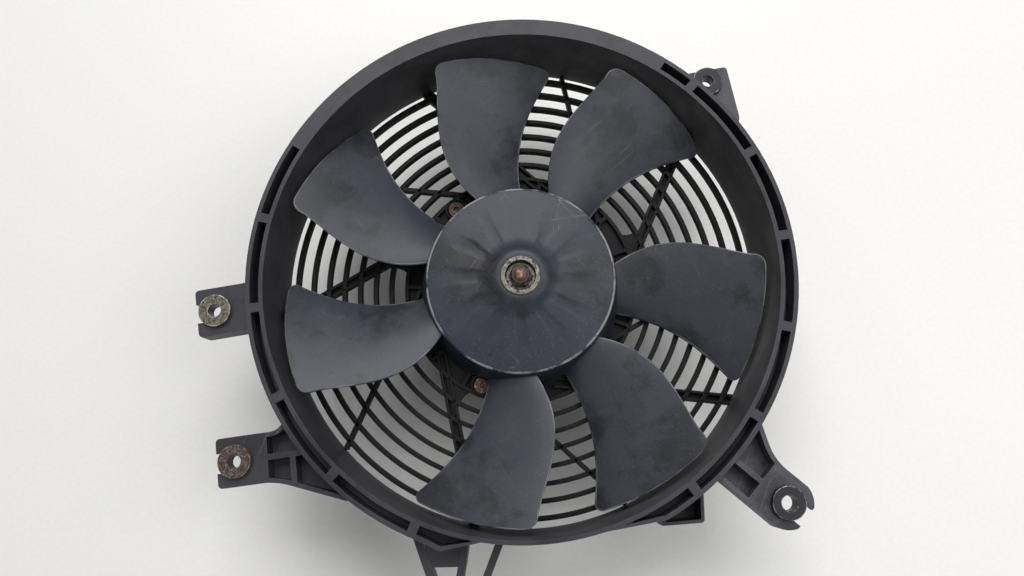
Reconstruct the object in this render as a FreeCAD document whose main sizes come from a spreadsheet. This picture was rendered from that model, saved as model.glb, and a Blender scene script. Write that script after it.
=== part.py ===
import FreeCAD, Part
import math
import os
import re

import Sketcher
from FreeCAD import Placement, Rotation, Vector

# Electric radiator fan: a round moulded shroud with a seven-blade fan and its motor.
# Millimetres and degrees. The fan turns about Z, the air mouth faces +Z, and the flat
# face of the rim lies at height 0, so every depth below is measured down from it.
# Angles run anticlockwise from +X, as seen looking into the mouth.

SIZES = {
    # Shroud ring and the open gutter round its rim
    "rim_radius": 166.0,
    "outer_wall": 2.6,
    "gutter_width": 5.4,
    "inner_wall": 2.5,
    "ring_draft": 2.0,
    "ring_depth": 53.5,
    "channel_depth": 18.0,
    "channel_floor": 2.5,
    "lip_thickness": 2.5,
    "gutter_start": -60.0,
    "gutter_end": 250.0,
    "right_tail": 12.0,
    "left_tail": 12.0,
    "left_corner": 4.3,
    "corner_rise": 1.6,
    "lip_start": 56.6,
    "lip_end": 150.0,
    "end_wall": 3.0,
    "rib_width": 5.5,
    "rib_pitch": 20.0,
    "right_ribs_from": -52.0,
    "right_ribs": 6,
    "left_ribs_from": 168.0,
    "left_ribs": 5,
    # Rear guard: concentric rings on arms that leave the motor mount at a tangent
    "guard_thickness": 6.0,
    "guard_ring_width": 3.0,
    "guard_edge_gap": 5.85,
    "guard_rings": 7,
    "mount_outer_margin": 7.6,
    "mount_inner_margin": 6.1,
    "mount_wall": 2.6,
    "mount_floor": 2.5,
    "mount_ribs": 18,
    "mount_rib_width": 2.4,
    "arm_inset": 2.8,
    "arm_pairs": 5,
    "arm_angle": 66.5,
    "wide_arm": 7.0,
    "narrow_arm": 3.0,
    "trough_width": 3.2,
    "trough_depth": 4.0,
    # Motor fixing on the guard
    "fixing_radius": 68.9,
    "fixing_angle": 129.0,
    "fixings": 3,
    "fixing_boss": 7.6,
    "screw_radius": 3.0,
    "screw_head_radius": 5.2,
    "screw_head_height": 3.2,
    "screw_length": 12.0,
    "socket_flats": 4.0,
    "socket_depth": 2.0,
    "head_room": 0.8,
    # Mounting lugs and the spool bushes clipped into their forks
    "lug_drop": 4.0,
    "lug_plate": 4.0,
    "lug_wall": 2.6,
    "lug_skirt": 18.0,
    "lug_floor": 2.0,
    "lug_rib": 3.2,
    "low_lug_rise": 23.5,
    "fork_opening": 11.4,
    "fork_corner": 2.5,
    "pocket_reach": 18.5,
    "lug_bury": 10.0,
    "bush_flange": 9.7,
    "bush_flange_thickness": 3.2,
    "bush_barrel": 6.3,
    "bush_bore": 3.7,
    "black_bush_bore": 4.3,
    # Upper left lug
    "upper_left_out": 19.06,
    "upper_left_angle": 187.45,
    "upper_left_turn": 189.8,
    "upper_left_half_width": 14.5,
    "upper_left_tip": 11.6,
    "upper_left_root": 40.0,
    # Lower left lug
    "lower_left_out": 33.76,
    "lower_left_angle": 214.31,
    "lower_left_turn": 188.1,
    "lower_left_half_width": 14.3,
    "lower_left_tip": 11.0,
    "lower_left_shoulder": 22.0,
    "lower_left_shoulder_round": 45.0,
    "lower_left_knee": 24.5,
    "lower_left_knee_round": 9.0,
    "lower_left_root": 62.0,
    "lower_left_flare": 31.0,
    "lower_left_foot": 50.0,
    "lower_left_rib": 33.0,
    # Lower right lug
    "lower_right_out": 37.05,
    "lower_right_angle": -41.45,
    "lower_right_turn": -40.0,
    "lower_right_half_width": 14.6,
    "lower_right_tip": 13.0,
    "lower_right_tip_round": 4.0,
    "lower_right_end_radius": 15.0,
    "lower_right_shoulder": 20.0,
    "lower_right_shoulder_round": 30.0,
    "lower_right_flare": 31.0,
    "lower_right_flare_end": 45.0,
    "lower_right_root": 60.0,
    # Upper right lug, low on the ring
    "upper_right_out": 18.38,
    "upper_right_angle": 47.53,
    "upper_right_turn": 101.0,
    "upper_right_half_width": 15.5,
    "upper_right_tip": 9.0,
    "upper_right_knee": 28.0,
    "upper_right_knee_round": 9.0,
    "upper_right_root": 66.0,
    # Bottom bracket, a braced triangle that carries the fifth bush
    "bracket_out": 39.18,
    "bracket_angle": -100.1,
    "bracket_turn": -90.0,
    "bracket_half_width": 14.5,
    "bracket_foot_half_width": 25.5,
    "bracket_foot": 41.0,
    "bracket_knee": 12.5,
    "bracket_knee_round": 6.0,
    "brace_turn": 8.0,
    "bracket_bar": 4.5,
    "bracket_rise": 31.5,
    "bracket_thickness": 14.0,
    "bracket_tip": 11.0,
    # Connector holder under the ring
    "holder_out": 6.72,
    "holder_angle": -54.14,
    "holder_width": 25.0,
    "holder_height": 27.0,
    "holder_wall": 2.0,
    "holder_rise": 29.5,
    "holder_depth": 20.0,
    "holder_slope": 2.0,
    "holder_corner": 2.5,
    # Fan hub
    "hub_room": 3.5,
    "boss_height": 18.0,
    "boss_radius": 16.0,
    "boss_foot": 22.0,
    "boss_rise": 5.5,
    "cap_radius": 59.6,
    "cap_drop": 10.0,
    "cap_round": 3.0,
    "drum_radius": 64.5,
    "drum_room": 3.5,
    "hub_wall": 3.0,
    "hub_ribs": 8,
    "hub_rib_width": 2.2,
    "hub_rib_room": 1.0,
    # Fan blades: four stations from root to tip, angles taken from the blade's own axis
    "tip_gap": 5.0,
    "shoulder_share": 0.2384,
    "middle_share": 0.6105,
    "root_high_angle": 21.4,
    "shoulder_high_angle": 24.0,
    "middle_high_angle": 19.4,
    "tip_high_angle": 14.1,
    "root_low_angle": -7.7,
    "shoulder_low_angle": -7.0,
    "middle_low_angle": -10.4,
    "tip_low_angle": -16.3,
    "root_high_rise": 18.0,
    "tip_high_rise": 36.0,
    "root_low_rise": 1.5,
    "tip_low_rise": 4.0,
    "blade_thickness": 2.8,
    "blade_camber": 4.0,
    "tip_corner": 11.0,
    # Turn of each blade's axis; the pitches differ, which softens the fan's tone
    "blade_axis_1": 98.0,
    "blade_axis_2": 52.6,
    "blade_axis_3": -9.4,
    "blade_axis_4": -56.3,
    "blade_axis_5": -100.5,
    "blade_axis_6": -164.6,
    "blade_axis_7": 149.1,
    # Hub insert, lock nut and shaft
    "insert_radius": 12.5,
    "insert_proud": 1.0,
    "insert_recess": 9.0,
    "insert_recess_depth": 4.5,
    "nut_flats": 13.0,
    "nut_height": 5.0,
    "nut_collar": 6.2,
    "nut_collar_height": 2.6,
    "nut_chamfer": 1.0,
    "shaft_radius": 4.0,
    "shaft_proud": 5.5,
    "shaft_chamfer": 1.0,
    "shaft_tail": 4.0,
    "thread_room": 0.05,
    "spacer_radius": 7.0,
    "thrust_gap": 0.3,
    # Motor
    "motor_radius": 38.0,
    "can_wall": 2.0,
    "motor_rise": 17.5,
    "can_length": 68.0,
    "cover_thickness": 2.5,
    "cover_opening": 7.6,
    "bearing_radius": 9.0,
    "bearing_length": 7.0,
    "pocket_wall": 2.0,
    "running_fit": 0.03,
    "seat_gap": 0.02,
    "flange_thickness": 2.5,
    "flange_width": 8.0,
    "ear_radius": 8.0,
    "magnet_thickness": 10.5,
    "magnet_inset": 14.0,
    "magnet_length": 36.0,
    "magnet_angle": 66.0,
    "magnets": 4,
    "air_gap": 0.8,
    "core_inset": 16.0,
    "core_length": 32.0,
    "core_slots": 10,
    "slot_width": 3.0,
    "slot_depth": 9.0,
    "coil_height": 6.0,
    "coil_inner": 9.0,
    "coil_margin": 1.5,
    "commutator_radius": 11.0,
    "commutator_gap": 1.0,
    "card_thickness": 1.6,
    "card_bore": 13.0,
    "card_margin": 1.0,
    "brush_width": 7.0,
    "brush_height": 5.0,
    "brush_length": 10.0,
    "brush_gap": 0.05,
    "brush_count": 2,
    "holder_thickness": 1.2,
    "brush_play": 0.1,
    "spring_radius": 2.2,
    "spring_bore": 1.4,
    "gland_radius": 5.0,
    "gland_bore": 2.6,
    "gland_length": 9.0,
    "gland_rise": 9.0,
    "gland_angle": -53.0,
}

# Sizes that follow from the ones above
WORKED_OUT = {
    "wall_radius": "rim_radius - outer_wall - gutter_width",
    "throat_radius": "wall_radius - inner_wall",
    "guard_radius": "throat_radius - ring_draft",
    "wall_back_radius": "wall_radius - ring_draft",
    "right_tail_end": "gutter_start - right_tail",
    "left_corner_angle": "gutter_end + left_corner",
    "left_tail_end": "gutter_end + left_tail",
    "guard_front": "ring_depth - guard_thickness",
    "mount_face": "ring_depth - mount_floor",
    "mount_outer_radius": "fixing_radius + mount_outer_margin",
    "mount_inner_radius": "fixing_radius - mount_inner_margin",
    "arm_offset": "mount_inner_radius - arm_inset",
    "first_ring_middle": "mount_outer_radius - mount_wall / 2",
    "guard_ring_pitch": "(guard_radius - guard_edge_gap - first_ring_middle) / guard_rings",
    "upper_left_x": "(rim_radius + upper_left_out) * cos(upper_left_angle)",
    "upper_left_y": "(rim_radius + upper_left_out) * sin(upper_left_angle)",
    "lower_left_x": "(rim_radius + lower_left_out) * cos(lower_left_angle)",
    "lower_left_y": "(rim_radius + lower_left_out) * sin(lower_left_angle)",
    "lower_right_x": "(rim_radius + lower_right_out) * cos(lower_right_angle)",
    "lower_right_y": "(rim_radius + lower_right_out) * sin(lower_right_angle)",
    "upper_right_x": "(rim_radius + upper_right_out) * cos(upper_right_angle)",
    "upper_right_y": "(rim_radius + upper_right_out) * sin(upper_right_angle)",
    "bracket_x": "(rim_radius + bracket_out) * cos(bracket_angle)",
    "bracket_y": "(rim_radius + bracket_out) * sin(bracket_angle)",
    "low_lug_drop": "ring_depth - low_lug_rise",
    "low_lug_skirt": "low_lug_drop + lug_skirt - lug_drop",
    "bracket_drop": "ring_depth - bracket_rise",
    "fork_seat": "bush_barrel + 5 * seat_gap",
    "holder_x": "(wall_radius + holder_out) * cos(holder_angle)",
    "holder_y": "(wall_radius + holder_out) * sin(holder_angle)",
    "holder_front": "ring_depth - holder_rise",
    "can_front": "ring_depth - motor_rise",
    "can_back": "can_front + can_length",
    "cover_front": "can_front - cover_thickness",
    "boss_back": "cover_front - hub_room",
    "boss_front": "boss_back - boss_height",
    "face_front": "boss_front + boss_rise",
    "cap_front": "boss_front + cap_drop",
    "hub_rib_back": "boss_back - hub_rib_room",
    "drum_back": "guard_front - drum_room",
    "fan_radius": "throat_radius - tip_gap",
    "shoulder_radius": "drum_radius + (fan_radius - drum_radius) * shoulder_share",
    "middle_radius": "drum_radius + (fan_radius - drum_radius) * middle_share",
    "root_high_drop": "drum_back - root_high_rise",
    "tip_high_drop": "drum_back - tip_high_rise",
    "root_low_drop": "drum_back - root_low_rise",
    "tip_low_drop": "drum_back - tip_low_rise",
    "insert_front": "boss_front - insert_proud",
    "nut_front": "insert_front + insert_recess_depth - nut_height",
    "shaft_tip": "insert_front - shaft_proud",
    "shaft_end": "can_back + shaft_tail",
    "shaft_hole": "shaft_radius + running_fit",
    "shaft_seat": "shaft_radius + seat_gap",
    "bearing_seat": "bearing_radius + seat_gap",
    "can_bore": "motor_radius - can_wall",
    "flange_radius": "motor_radius + flange_width",
    "magnet_front": "can_front + magnet_inset",
    "magnet_inner": "can_bore - seat_gap - magnet_thickness",
    "core_front": "can_front + core_inset",
    "core_back": "core_front + core_length",
    "core_radius": "magnet_inner - air_gap",
    "commutator_front": "core_back + coil_height + commutator_gap",
    "rear_bearing_front": "can_back - can_wall",
    "card_back": "rear_bearing_front - seat_gap",
    "card_front": "card_back - card_thickness",
    "gland_drop": "can_back - gland_rise",
}

doc = FreeCAD.newDocument("RadiatorFan")
sheet = doc.addObject("Spreadsheet::Sheet", "Sizes")
exported = []


def fill_sheet():
    """Writes every driving size, then the sizes worked out from them, each with its alias."""
    for row, (name, number) in enumerate(SIZES.items(), 1):
        sheet.set(f"A{row}", name)
        sheet.set(f"B{row}", str(number))
        sheet.setAlias(f"B{row}", name)
    for row, (name, sum_text) in enumerate(WORKED_OUT.items(), len(SIZES) + 1):
        sheet.set(f"A{row}", name)
        sheet.set(f"B{row}", "=" + sum_text)
        sheet.setAlias(f"B{row}", name)
    doc.recompute()


def size(name):
    """A size read back from the sheet."""
    return float(sheet.get(name))


LONGEST_FIRST = sorted([*SIZES, *WORKED_OUT], key=len, reverse=True)
ALIAS = re.compile(r"\b(" + "|".join(LONGEST_FIRST) + r")\b")


def formula(text):
    """The same sum with each size looked up in the sheet."""
    return ALIAS.sub(r"Sizes.\1", text)


def polar(radius, angle):
    """Two formulas: the place at a radius and an angle round the fan's axis."""
    return (f"({radius}) * cos({angle})", f"({radius}) * sin({angle})")


def new_body(name, export=True):
    body = doc.addObject("PartDesign::Body", name)
    if export:
        exported.append(body)
    return body


def placed_sketch(body, name, plane, turn, drop):
    """An empty sketch on one of the body's planes, turned and lowered by the sheet."""
    drawing = body.newObject("Sketcher::SketchObject", name)
    support = next(item for item in body.Origin.OriginFeatures if item.Role == plane)
    drawing.AttachmentSupport = [(support, "")]
    drawing.MapMode = "FlatFace"
    axis = Vector(0, 1, 0) if plane == "XZ_Plane" else Vector(0, 0, 1)
    if turn:
        drawing.AttachmentOffset = Placement(Vector(0, 0, 0), Rotation(axis, 1))
        drawing.setExpression("AttachmentOffset.Rotation.Angle", formula(turn))
    if drop:
        drawing.setExpression("AttachmentOffset.Base.z", formula(f"-({drop})"))
    return drawing


def sketch(body, name, plane, corners, turn=None, drop=None):
    """A closed outline of straight edges, every corner tied to the sheet."""
    drawing = placed_sketch(body, name, plane, turn, drop)
    count = len(corners)
    step = 2 * math.pi / count
    starts = [Vector(math.cos(step * n), math.sin(step * n), 0) for n in range(count)]
    for n in range(count):
        drawing.addGeometry(Part.LineSegment(starts[n], starts[(n + 1) % count]), False)
    for n in range(count):
        drawing.addConstraint(Sketcher.Constraint("Coincident", n, 2, (n + 1) % count, 1))
    for n, (across, up) in enumerate(corners):
        for kind, text in (("DistanceX", across), ("DistanceY", up)):
            number = drawing.addConstraint(Sketcher.Constraint(kind, n, 1, 1.0))
            drawing.setExpression(f"Constraints[{number}]", formula(text))
    return drawing


def round_sketch(body, name, away, radius, turn=None, drop=None):
    """A circle whose centre lies out along the sketch's first axis."""
    drawing = placed_sketch(body, name, "XY_Plane", turn, drop)
    drawing.addGeometry(Part.Circle(Vector(1, 1, 0), Vector(0, 0, 1), 1), False)
    for kind, text in (("DistanceX", away), ("DistanceY", "0")):
        number = drawing.addConstraint(Sketcher.Constraint(kind, 0, 3, 1.0))
        drawing.setExpression(f"Constraints[{number}]", formula(text))
    number = drawing.addConstraint(Sketcher.Constraint("Radius", 0, 1.0))
    drawing.setExpression(f"Constraints[{number}]", formula(radius))
    return drawing


def revolve(body, name, drawing, angle="360"):
    turned = body.newObject("PartDesign::Revolution", name)
    turned.Profile = drawing
    turned.ReferenceAxis = (drawing, ["V_Axis"])
    turned.setExpression("Angle", formula(angle))
    return turned


def pad(body, name, drawing, length):
    raised = body.newObject("PartDesign::Pad", name)
    raised.Profile = drawing
    raised.setExpression("Length", formula(length))
    return raised


def pocket(body, name, drawing, length):
    """A cut that runs up from its sketch, checked to take material away."""
    doc.recompute()
    before = body.Shape.Volume
    cut = body.newObject("PartDesign::Pocket", name)
    cut.Profile = drawing
    cut.Reversed = True
    cut.setExpression("Length", formula(length))
    doc.recompute()
    if not body.Shape.Volume < before:
        raise ValueError(f"{body.Label}: {name} cuts nothing")
    return cut


def repeat(body, name, feature, drawing, angle, count):
    """Copies of a feature spread over an angle round the fan's axis."""
    copies = body.newObject("PartDesign::PolarPattern", name)
    copies.Originals = [feature]
    copies.Axis = (drawing, ["N_Axis"])
    copies.setExpression("Angle", formula(angle))
    copies.setExpression("Occurrences", formula(count))
    body.Tip = copies
    return copies


def rectangle(left, bottom, right, top):
    return [(left, bottom), (right, bottom), (right, top), (left, top)]


def feature(name, shape, export=True):
    """A free shape with a name of its own."""
    item = doc.addObject("Part::Feature", name)
    item.Shape = shape
    if export:
        exported.append(item)
    return item


def rounded_wire(corners):
    """A closed wire through (x, y, radius) corners, each rounded by a tangent arc."""
    count = len(corners)
    ends = []
    for n in range(count):
        here = Vector(corners[n][0], corners[n][1], 0)
        back = Vector(corners[n - 1][0], corners[n - 1][1], 0) - here
        ahead = Vector(corners[(n + 1) % count][0], corners[(n + 1) % count][1], 0) - here
        radius = corners[n][2]
        half = back.getAngle(ahead) / 2
        if radius <= 0 or abs(half - math.pi / 2) < 0.001:
            ends.append((here, None, here))
            continue
        back.normalize()
        ahead.normalize()
        reach = radius / math.tan(half)
        middle_way = (back + ahead).normalize()
        middle = here + middle_way * (radius / math.sin(half) - radius)
        ends.append((here + back * reach, middle, here + ahead * reach))
    edges = []
    for n in range(count):
        start, middle, finish = ends[n]
        if middle is not None:
            edges.append(Part.Arc(start, middle, finish).toShape())
        edges.append(Part.LineSegment(finish, ends[(n + 1) % count][0]).toShape())
    return Part.Wire(edges)


def prism(wire, front, back):
    """The solid between two depths under a flat outline."""
    plate = Part.Face(wire)
    plate.translate(Vector(0, 0, -back))
    return plate.extrude(Vector(0, 0, back - front))


def block(left, bottom, right, top, front, back):
    corner = Vector(left, bottom, -back)
    return Part.makeBox(right - left, top - bottom, back - front, corner)


def round_bar(radius, front, back, x=0.0, y=0.0):
    return Part.makeCylinder(radius, back - front, Vector(x, y, -back))


def tube(outer, inner, front, back):
    return round_bar(outer, front, back).cut(round_bar(inner, front, back))


def turned_about_axis(shape, angle):
    copy = shape.copy()
    copy.rotate(Vector(0, 0, 0), Vector(0, 0, 1), angle)
    return copy


def build_shroud_ring():
    """The ring: a drafted inner wall, a gutter open to the front and a closed lip on top."""
    ring = new_body("shroud_ring")
    wall = sketch(ring, "wall_section", "XZ_Plane", [
        ("throat_radius", "0"),
        ("wall_radius", "0"),
        ("wall_back_radius", "-ring_depth"),
        ("guard_radius", "-ring_depth"),
        ("guard_radius", "-guard_front"),
    ])
    revolve(ring, "inner_wall_ring", wall)
    outer = sketch(ring, "outer_section", "XZ_Plane", rectangle(
        "rim_radius - outer_wall", "-channel_depth", "rim_radius", "0"), turn="gutter_start")
    inside = "wall_radius - inner_wall / 2"
    floor = rectangle(inside, "-channel_depth", "rim_radius - outer_wall / 2",
                      "channel_floor - channel_depth")
    right_floor = sketch(ring, "right_floor_section", "XZ_Plane", floor, turn="gutter_start")
    revolve(ring, "right_floor", right_floor, "lip_start - gutter_start")
    left_floor = sketch(ring, "left_floor_section", "XZ_Plane", floor, turn="lip_end")
    revolve(ring, "left_floor", left_floor, "gutter_end - lip_end")
    lip = sketch(ring, "lip_section", "XZ_Plane", rectangle(
        inside, "-lip_thickness", "rim_radius - outer_wall / 2", "0"), turn="lip_start")
    revolve(ring, "lip", lip, "lip_end - lip_start")
    revolve(ring, "outer_wall_ring", outer, "gutter_end - gutter_start")

    def cross_wall(name, width, angle):
        drawing = sketch(ring, name + "_outline", "XY_Plane", rectangle(
            inside, f"-{width} / 2", "rim_radius - outer_wall / 2", f"{width} / 2"),
            turn=angle, drop="channel_depth")
        return drawing, pad(ring, name, drawing, "channel_depth")

    cross_wall("lip_start_wall", "end_wall", "lip_start")
    cross_wall("lip_end_wall", "end_wall", "lip_end")
    drawing, rib = cross_wall("right_rib", "rib_width", "right_ribs_from")
    repeat(ring, "right_rib_row", rib, drawing, "rib_pitch * (right_ribs - 1)", "right_ribs")
    drawing, rib = cross_wall("left_rib", "rib_width", "left_ribs_from")
    repeat(ring, "left_rib_row", rib, drawing, "rib_pitch * (left_ribs - 1)", "left_ribs")

    # Both ends of the gutter, where its outer wall runs straight into the inner wall
    rim_inside = "rim_radius - outer_wall"
    corner = "rim_radius + corner_rise"
    right_wall = [
        polar(rim_inside, "gutter_start"),
        polar("rim_radius", "gutter_start"),
        polar("wall_radius", "right_tail_end"),
        polar(inside, "right_tail_end"),
    ]
    left_wall = [
        polar("rim_radius", "gutter_end"),
        polar(rim_inside, "gutter_end"),
        polar(corner + " - outer_wall", "left_corner_angle"),
        polar(inside, "left_tail_end"),
        polar("wall_radius", "left_tail_end"),
        polar(corner, "left_corner_angle"),
    ]
    right_base = [right_wall[1], right_wall[2], polar(inside, "gutter_start")]
    left_base = [polar(inside, "gutter_end"), left_wall[4], left_wall[5], left_wall[0]]
    for name, outline, height in (
            ("right_tail_wall", right_wall, "channel_depth"),
            ("left_tail_wall", left_wall, "channel_depth"),
            ("right_tail_floor", right_base, "channel_floor"),
            ("left_tail_floor", left_base, "channel_floor")):
        drawing = sketch(ring, name + "_outline", "XY_Plane", outline, drop="channel_depth")
        pad(ring, name, drawing, height)
    doc.recompute()


def build_rear_guard():
    """The grille behind the fan, with the ring and floor that carry the motor."""
    front = size("guard_front")
    back = size("ring_depth")
    mount_outer = size("mount_outer_radius")
    mount_inner = size("mount_inner_radius")
    wall = size("mount_wall")
    offset = size("arm_offset")
    guard_radius = size("guard_radius")
    pieces = []
    for n in range(int(size("guard_rings"))):
        middle = size("first_ring_middle") + size("guard_ring_pitch") * (n + 1)
        half = size("guard_ring_width") / 2
        pieces.append(tube(middle + half, middle - half, front, back))
    pieces.append(tube(mount_outer, mount_outer - wall, front, back))
    pieces.append(tube(mount_inner + wall, mount_inner, front, back))
    floor_bore = size("motor_radius") + size("head_room")
    pieces.append(tube(mount_inner + wall, floor_bore, size("mount_face"), back))
    rib_half = size("mount_rib_width") / 2
    rib = block(mount_inner, -rib_half, mount_outer, rib_half, front, back)
    ribs = int(size("mount_ribs"))
    pieces += [turned_about_axis(rib, 360 / ribs * n) for n in range(ribs)]

    pairs = int(size("arm_pairs"))
    trough_start = math.sqrt((mount_outer + wall) ** 2 - offset ** 2)
    trough_finish = math.sqrt((guard_radius - wall) ** 2 - offset ** 2)
    inner_bore = round_bar(mount_inner, front, back)
    arms = []
    for n in range(2 * pairs):
        wide = n % 2 == 0
        half = size("wide_arm" if wide else "narrow_arm") / 2
        arm = block(0, -offset - half, guard_radius, -offset + half, front, back)
        if wide:
            half = size("trough_width") / 2
            arm = arm.cut(block(trough_start, -offset - half, trough_finish, -offset + half,
                                front, front + size("trough_depth")))
        arms.append(turned_about_axis(arm.cut(inner_bore), size("arm_angle") + 180 / pairs * n))
    guard = pieces[0].multiFuse(pieces[1:] + arms)

    fixings = int(size("fixings"))
    angles = [size("fixing_angle") + 360 / fixings * n for n in range(fixings)]
    out = Vector(size("fixing_radius"), 0, 0)
    places = [Rotation(Vector(0, 0, 1), angle).multVec(out) for angle in angles]
    head_hole = size("screw_head_radius") + size("head_room")
    shank_hole = size("screw_radius") + size("thread_room")
    mount_face = size("mount_face")
    for place in places:
        guard = guard.fuse(round_bar(size("fixing_boss"), front, back, place.x, place.y))
    for place in places:
        head = round_bar(head_hole, front, mount_face, place.x, place.y)
        guard = guard.cut(head.fuse(round_bar(shank_hole, front, back, place.x, place.y)))
    guard = guard.common(round_bar(guard_radius, front, back))
    feature("rear_guard", guard.removeSplitter())

    shank_end = mount_face + size("screw_length")
    head_top = mount_face - size("screw_head_height")
    socket = prism(hexagon(size("socket_flats")), head_top, head_top + size("socket_depth"))
    screws = []
    for place in places:
        screw = round_bar(size("screw_head_radius"), head_top, mount_face)
        screw = screw.fuse(round_bar(size("screw_radius"), head_top, shank_end)).cut(socket)
        screw.translate(place)
        screws.append(screw)
    feature("motor_screws", Part.makeCompound(screws))


def hexagon(across_flats):
    corner = Vector(across_flats / math.sqrt(3), 0, 0)
    return Part.makePolygon([Rotation(Vector(0, 0, 1), 60 * n).multVec(corner) for n in range(7)])


def seat_on_ring(shape, x, y, turn, core):
    """The part of a lug-shaped solid that lies outside the ring, in the lug's own frame."""
    core = core.copy()
    core.translate(Vector(-x, -y, 0))
    core.rotate(Vector(0, 0, 0), Vector(0, 0, 1), -turn)
    return shape.cut(core)


def ring_core():
    """The space inside the gutter's outer wall."""
    return round_bar(size("rim_radius"), -1, size("ring_depth") + 1)


def ring_back_core():
    """The space inside the outer face of the inner wall, with its draft."""
    front_radius = size("wall_radius")
    back_radius = size("wall_back_radius")
    depth = size("ring_depth")
    return Part.makeCone(back_radius, front_radius, depth, Vector(0, 0, -depth))


def fork(half_width, tip, front, back):
    """The open slot at a lug's end with the round seat of the bush."""
    half = size("fork_opening") / 2
    seat = round_bar(size("fork_seat"), front, back)
    return seat.fuse(block(0, -half, tip + half_width, half, front, back))


def build_lug(name, outline, front, skirt_back, core, pocketed=False, cross_rib=None, end=None):
    """A fork-ended plate with skirts and, on some, ribbed pockets between it and the ring."""
    x = size(name + "_x")
    y = size(name + "_y")
    turn = size(name + "_turn")
    half_width = size(name + "_half_width")
    tip = size(name + "_tip")
    wall = size("lug_wall")
    plate_back = front + size("lug_plate")
    whole = rounded_wire(outline)
    lug = prism(whole, front, skirt_back)
    inside = whole.makeOffset2D(-wall, 1)
    hollow = prism(inside, plate_back, skirt_back)
    if pocketed:
        far = whole.BoundBox.XMin
        low = whole.BoundBox.YMin
        high = whole.BoundBox.YMax
        reach = size("pocket_reach")
        cross_wall = block(-reach, low, -reach + wall, high, front, skirt_back)
        behind = block(far, low, -reach, high, front, skirt_back)
        rib_half = size("lug_rib") / 2
        ribs = block(far, -rib_half, -reach, rib_half, front, skirt_back)
        if cross_rib:
            ribs = ribs.fuse(block(-cross_rib - rib_half, 0, -cross_rib + rib_half, high,
                                   front, skirt_back))
        pockets = prism(inside, front, skirt_back - size("lug_floor")).common(behind).cut(ribs)
        hollow = hollow.cut(behind).cut(cross_wall).fuse(pockets)
    lug = lug.cut(hollow)
    lug = lug.cut(block(-size("bush_flange") - wall, -half_width + wall, tip + wall,
                        half_width - wall, plate_back, skirt_back))
    if end:
        lug = lug.common(end)
    lug = lug.cut(fork(half_width, tip, front, skirt_back))
    lug = seat_on_ring(lug, x, y, turn, core)
    lug = max(lug.Solids, key=lambda solid: solid.Volume)
    item = feature("lug_" + name, lug.removeSplitter())
    item.Placement = Placement(Vector(x, y, 0), Rotation(Vector(0, 0, 1), turn))


def build_lugs():
    front = size("lug_drop")
    skirt = size("lug_skirt")
    corner = size("fork_corner")
    core = ring_core()

    half = size("upper_left_half_width")
    tip = size("upper_left_tip")
    root = size("upper_left_root")
    build_lug("upper_left", [
        (tip, -half, corner), (tip, half, corner), (-root, half, 0), (-root, -half, 0)],
        front, skirt, core)

    half = size("lower_left_half_width")
    tip = size("lower_left_tip")
    root = size("lower_left_root")
    build_lug("lower_left", [
        (tip, -half, corner),
        (tip, half, corner),
        (-size("lower_left_shoulder"), half, size("lower_left_shoulder_round")),
        (-root, size("lower_left_flare"), 0),
        (-root, -size("lower_left_foot"), 0),
        (-size("lower_left_knee"), -half, size("lower_left_knee_round"))],
        front, skirt, core, pocketed=True, cross_rib=size("lower_left_rib"))

    half = size("lower_right_half_width")
    tip = size("lower_right_tip")
    root = size("lower_right_root")
    flare = size("lower_right_flare")
    tip_round = size("lower_right_tip_round")
    end = round_bar(size("lower_right_end_radius"), front, skirt)
    end = end.fuse(block(-root, -flare, 0, flare, front, skirt))
    build_lug("lower_right", [
        (tip, -half, tip_round),
        (tip, half, tip_round),
        (-size("lower_right_shoulder"), half, size("lower_right_shoulder_round")),
        (-size("lower_right_flare_end"), flare, 0),
        (-root, flare, 0),
        (-root, -half, 0)],
        front, skirt, core, pocketed=True, end=end)

    half = size("upper_right_half_width")
    tip = size("upper_right_tip")
    root = size("upper_right_root")
    build_lug("upper_right", [
        (tip, -half, corner),
        (tip, half, corner),
        (-root, half, 0),
        (-root, 0, 0),
        (-size("upper_right_knee"), -half, size("upper_right_knee_round"))],
        size("low_lug_drop"), size("low_lug_skirt"), ring_back_core())


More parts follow.
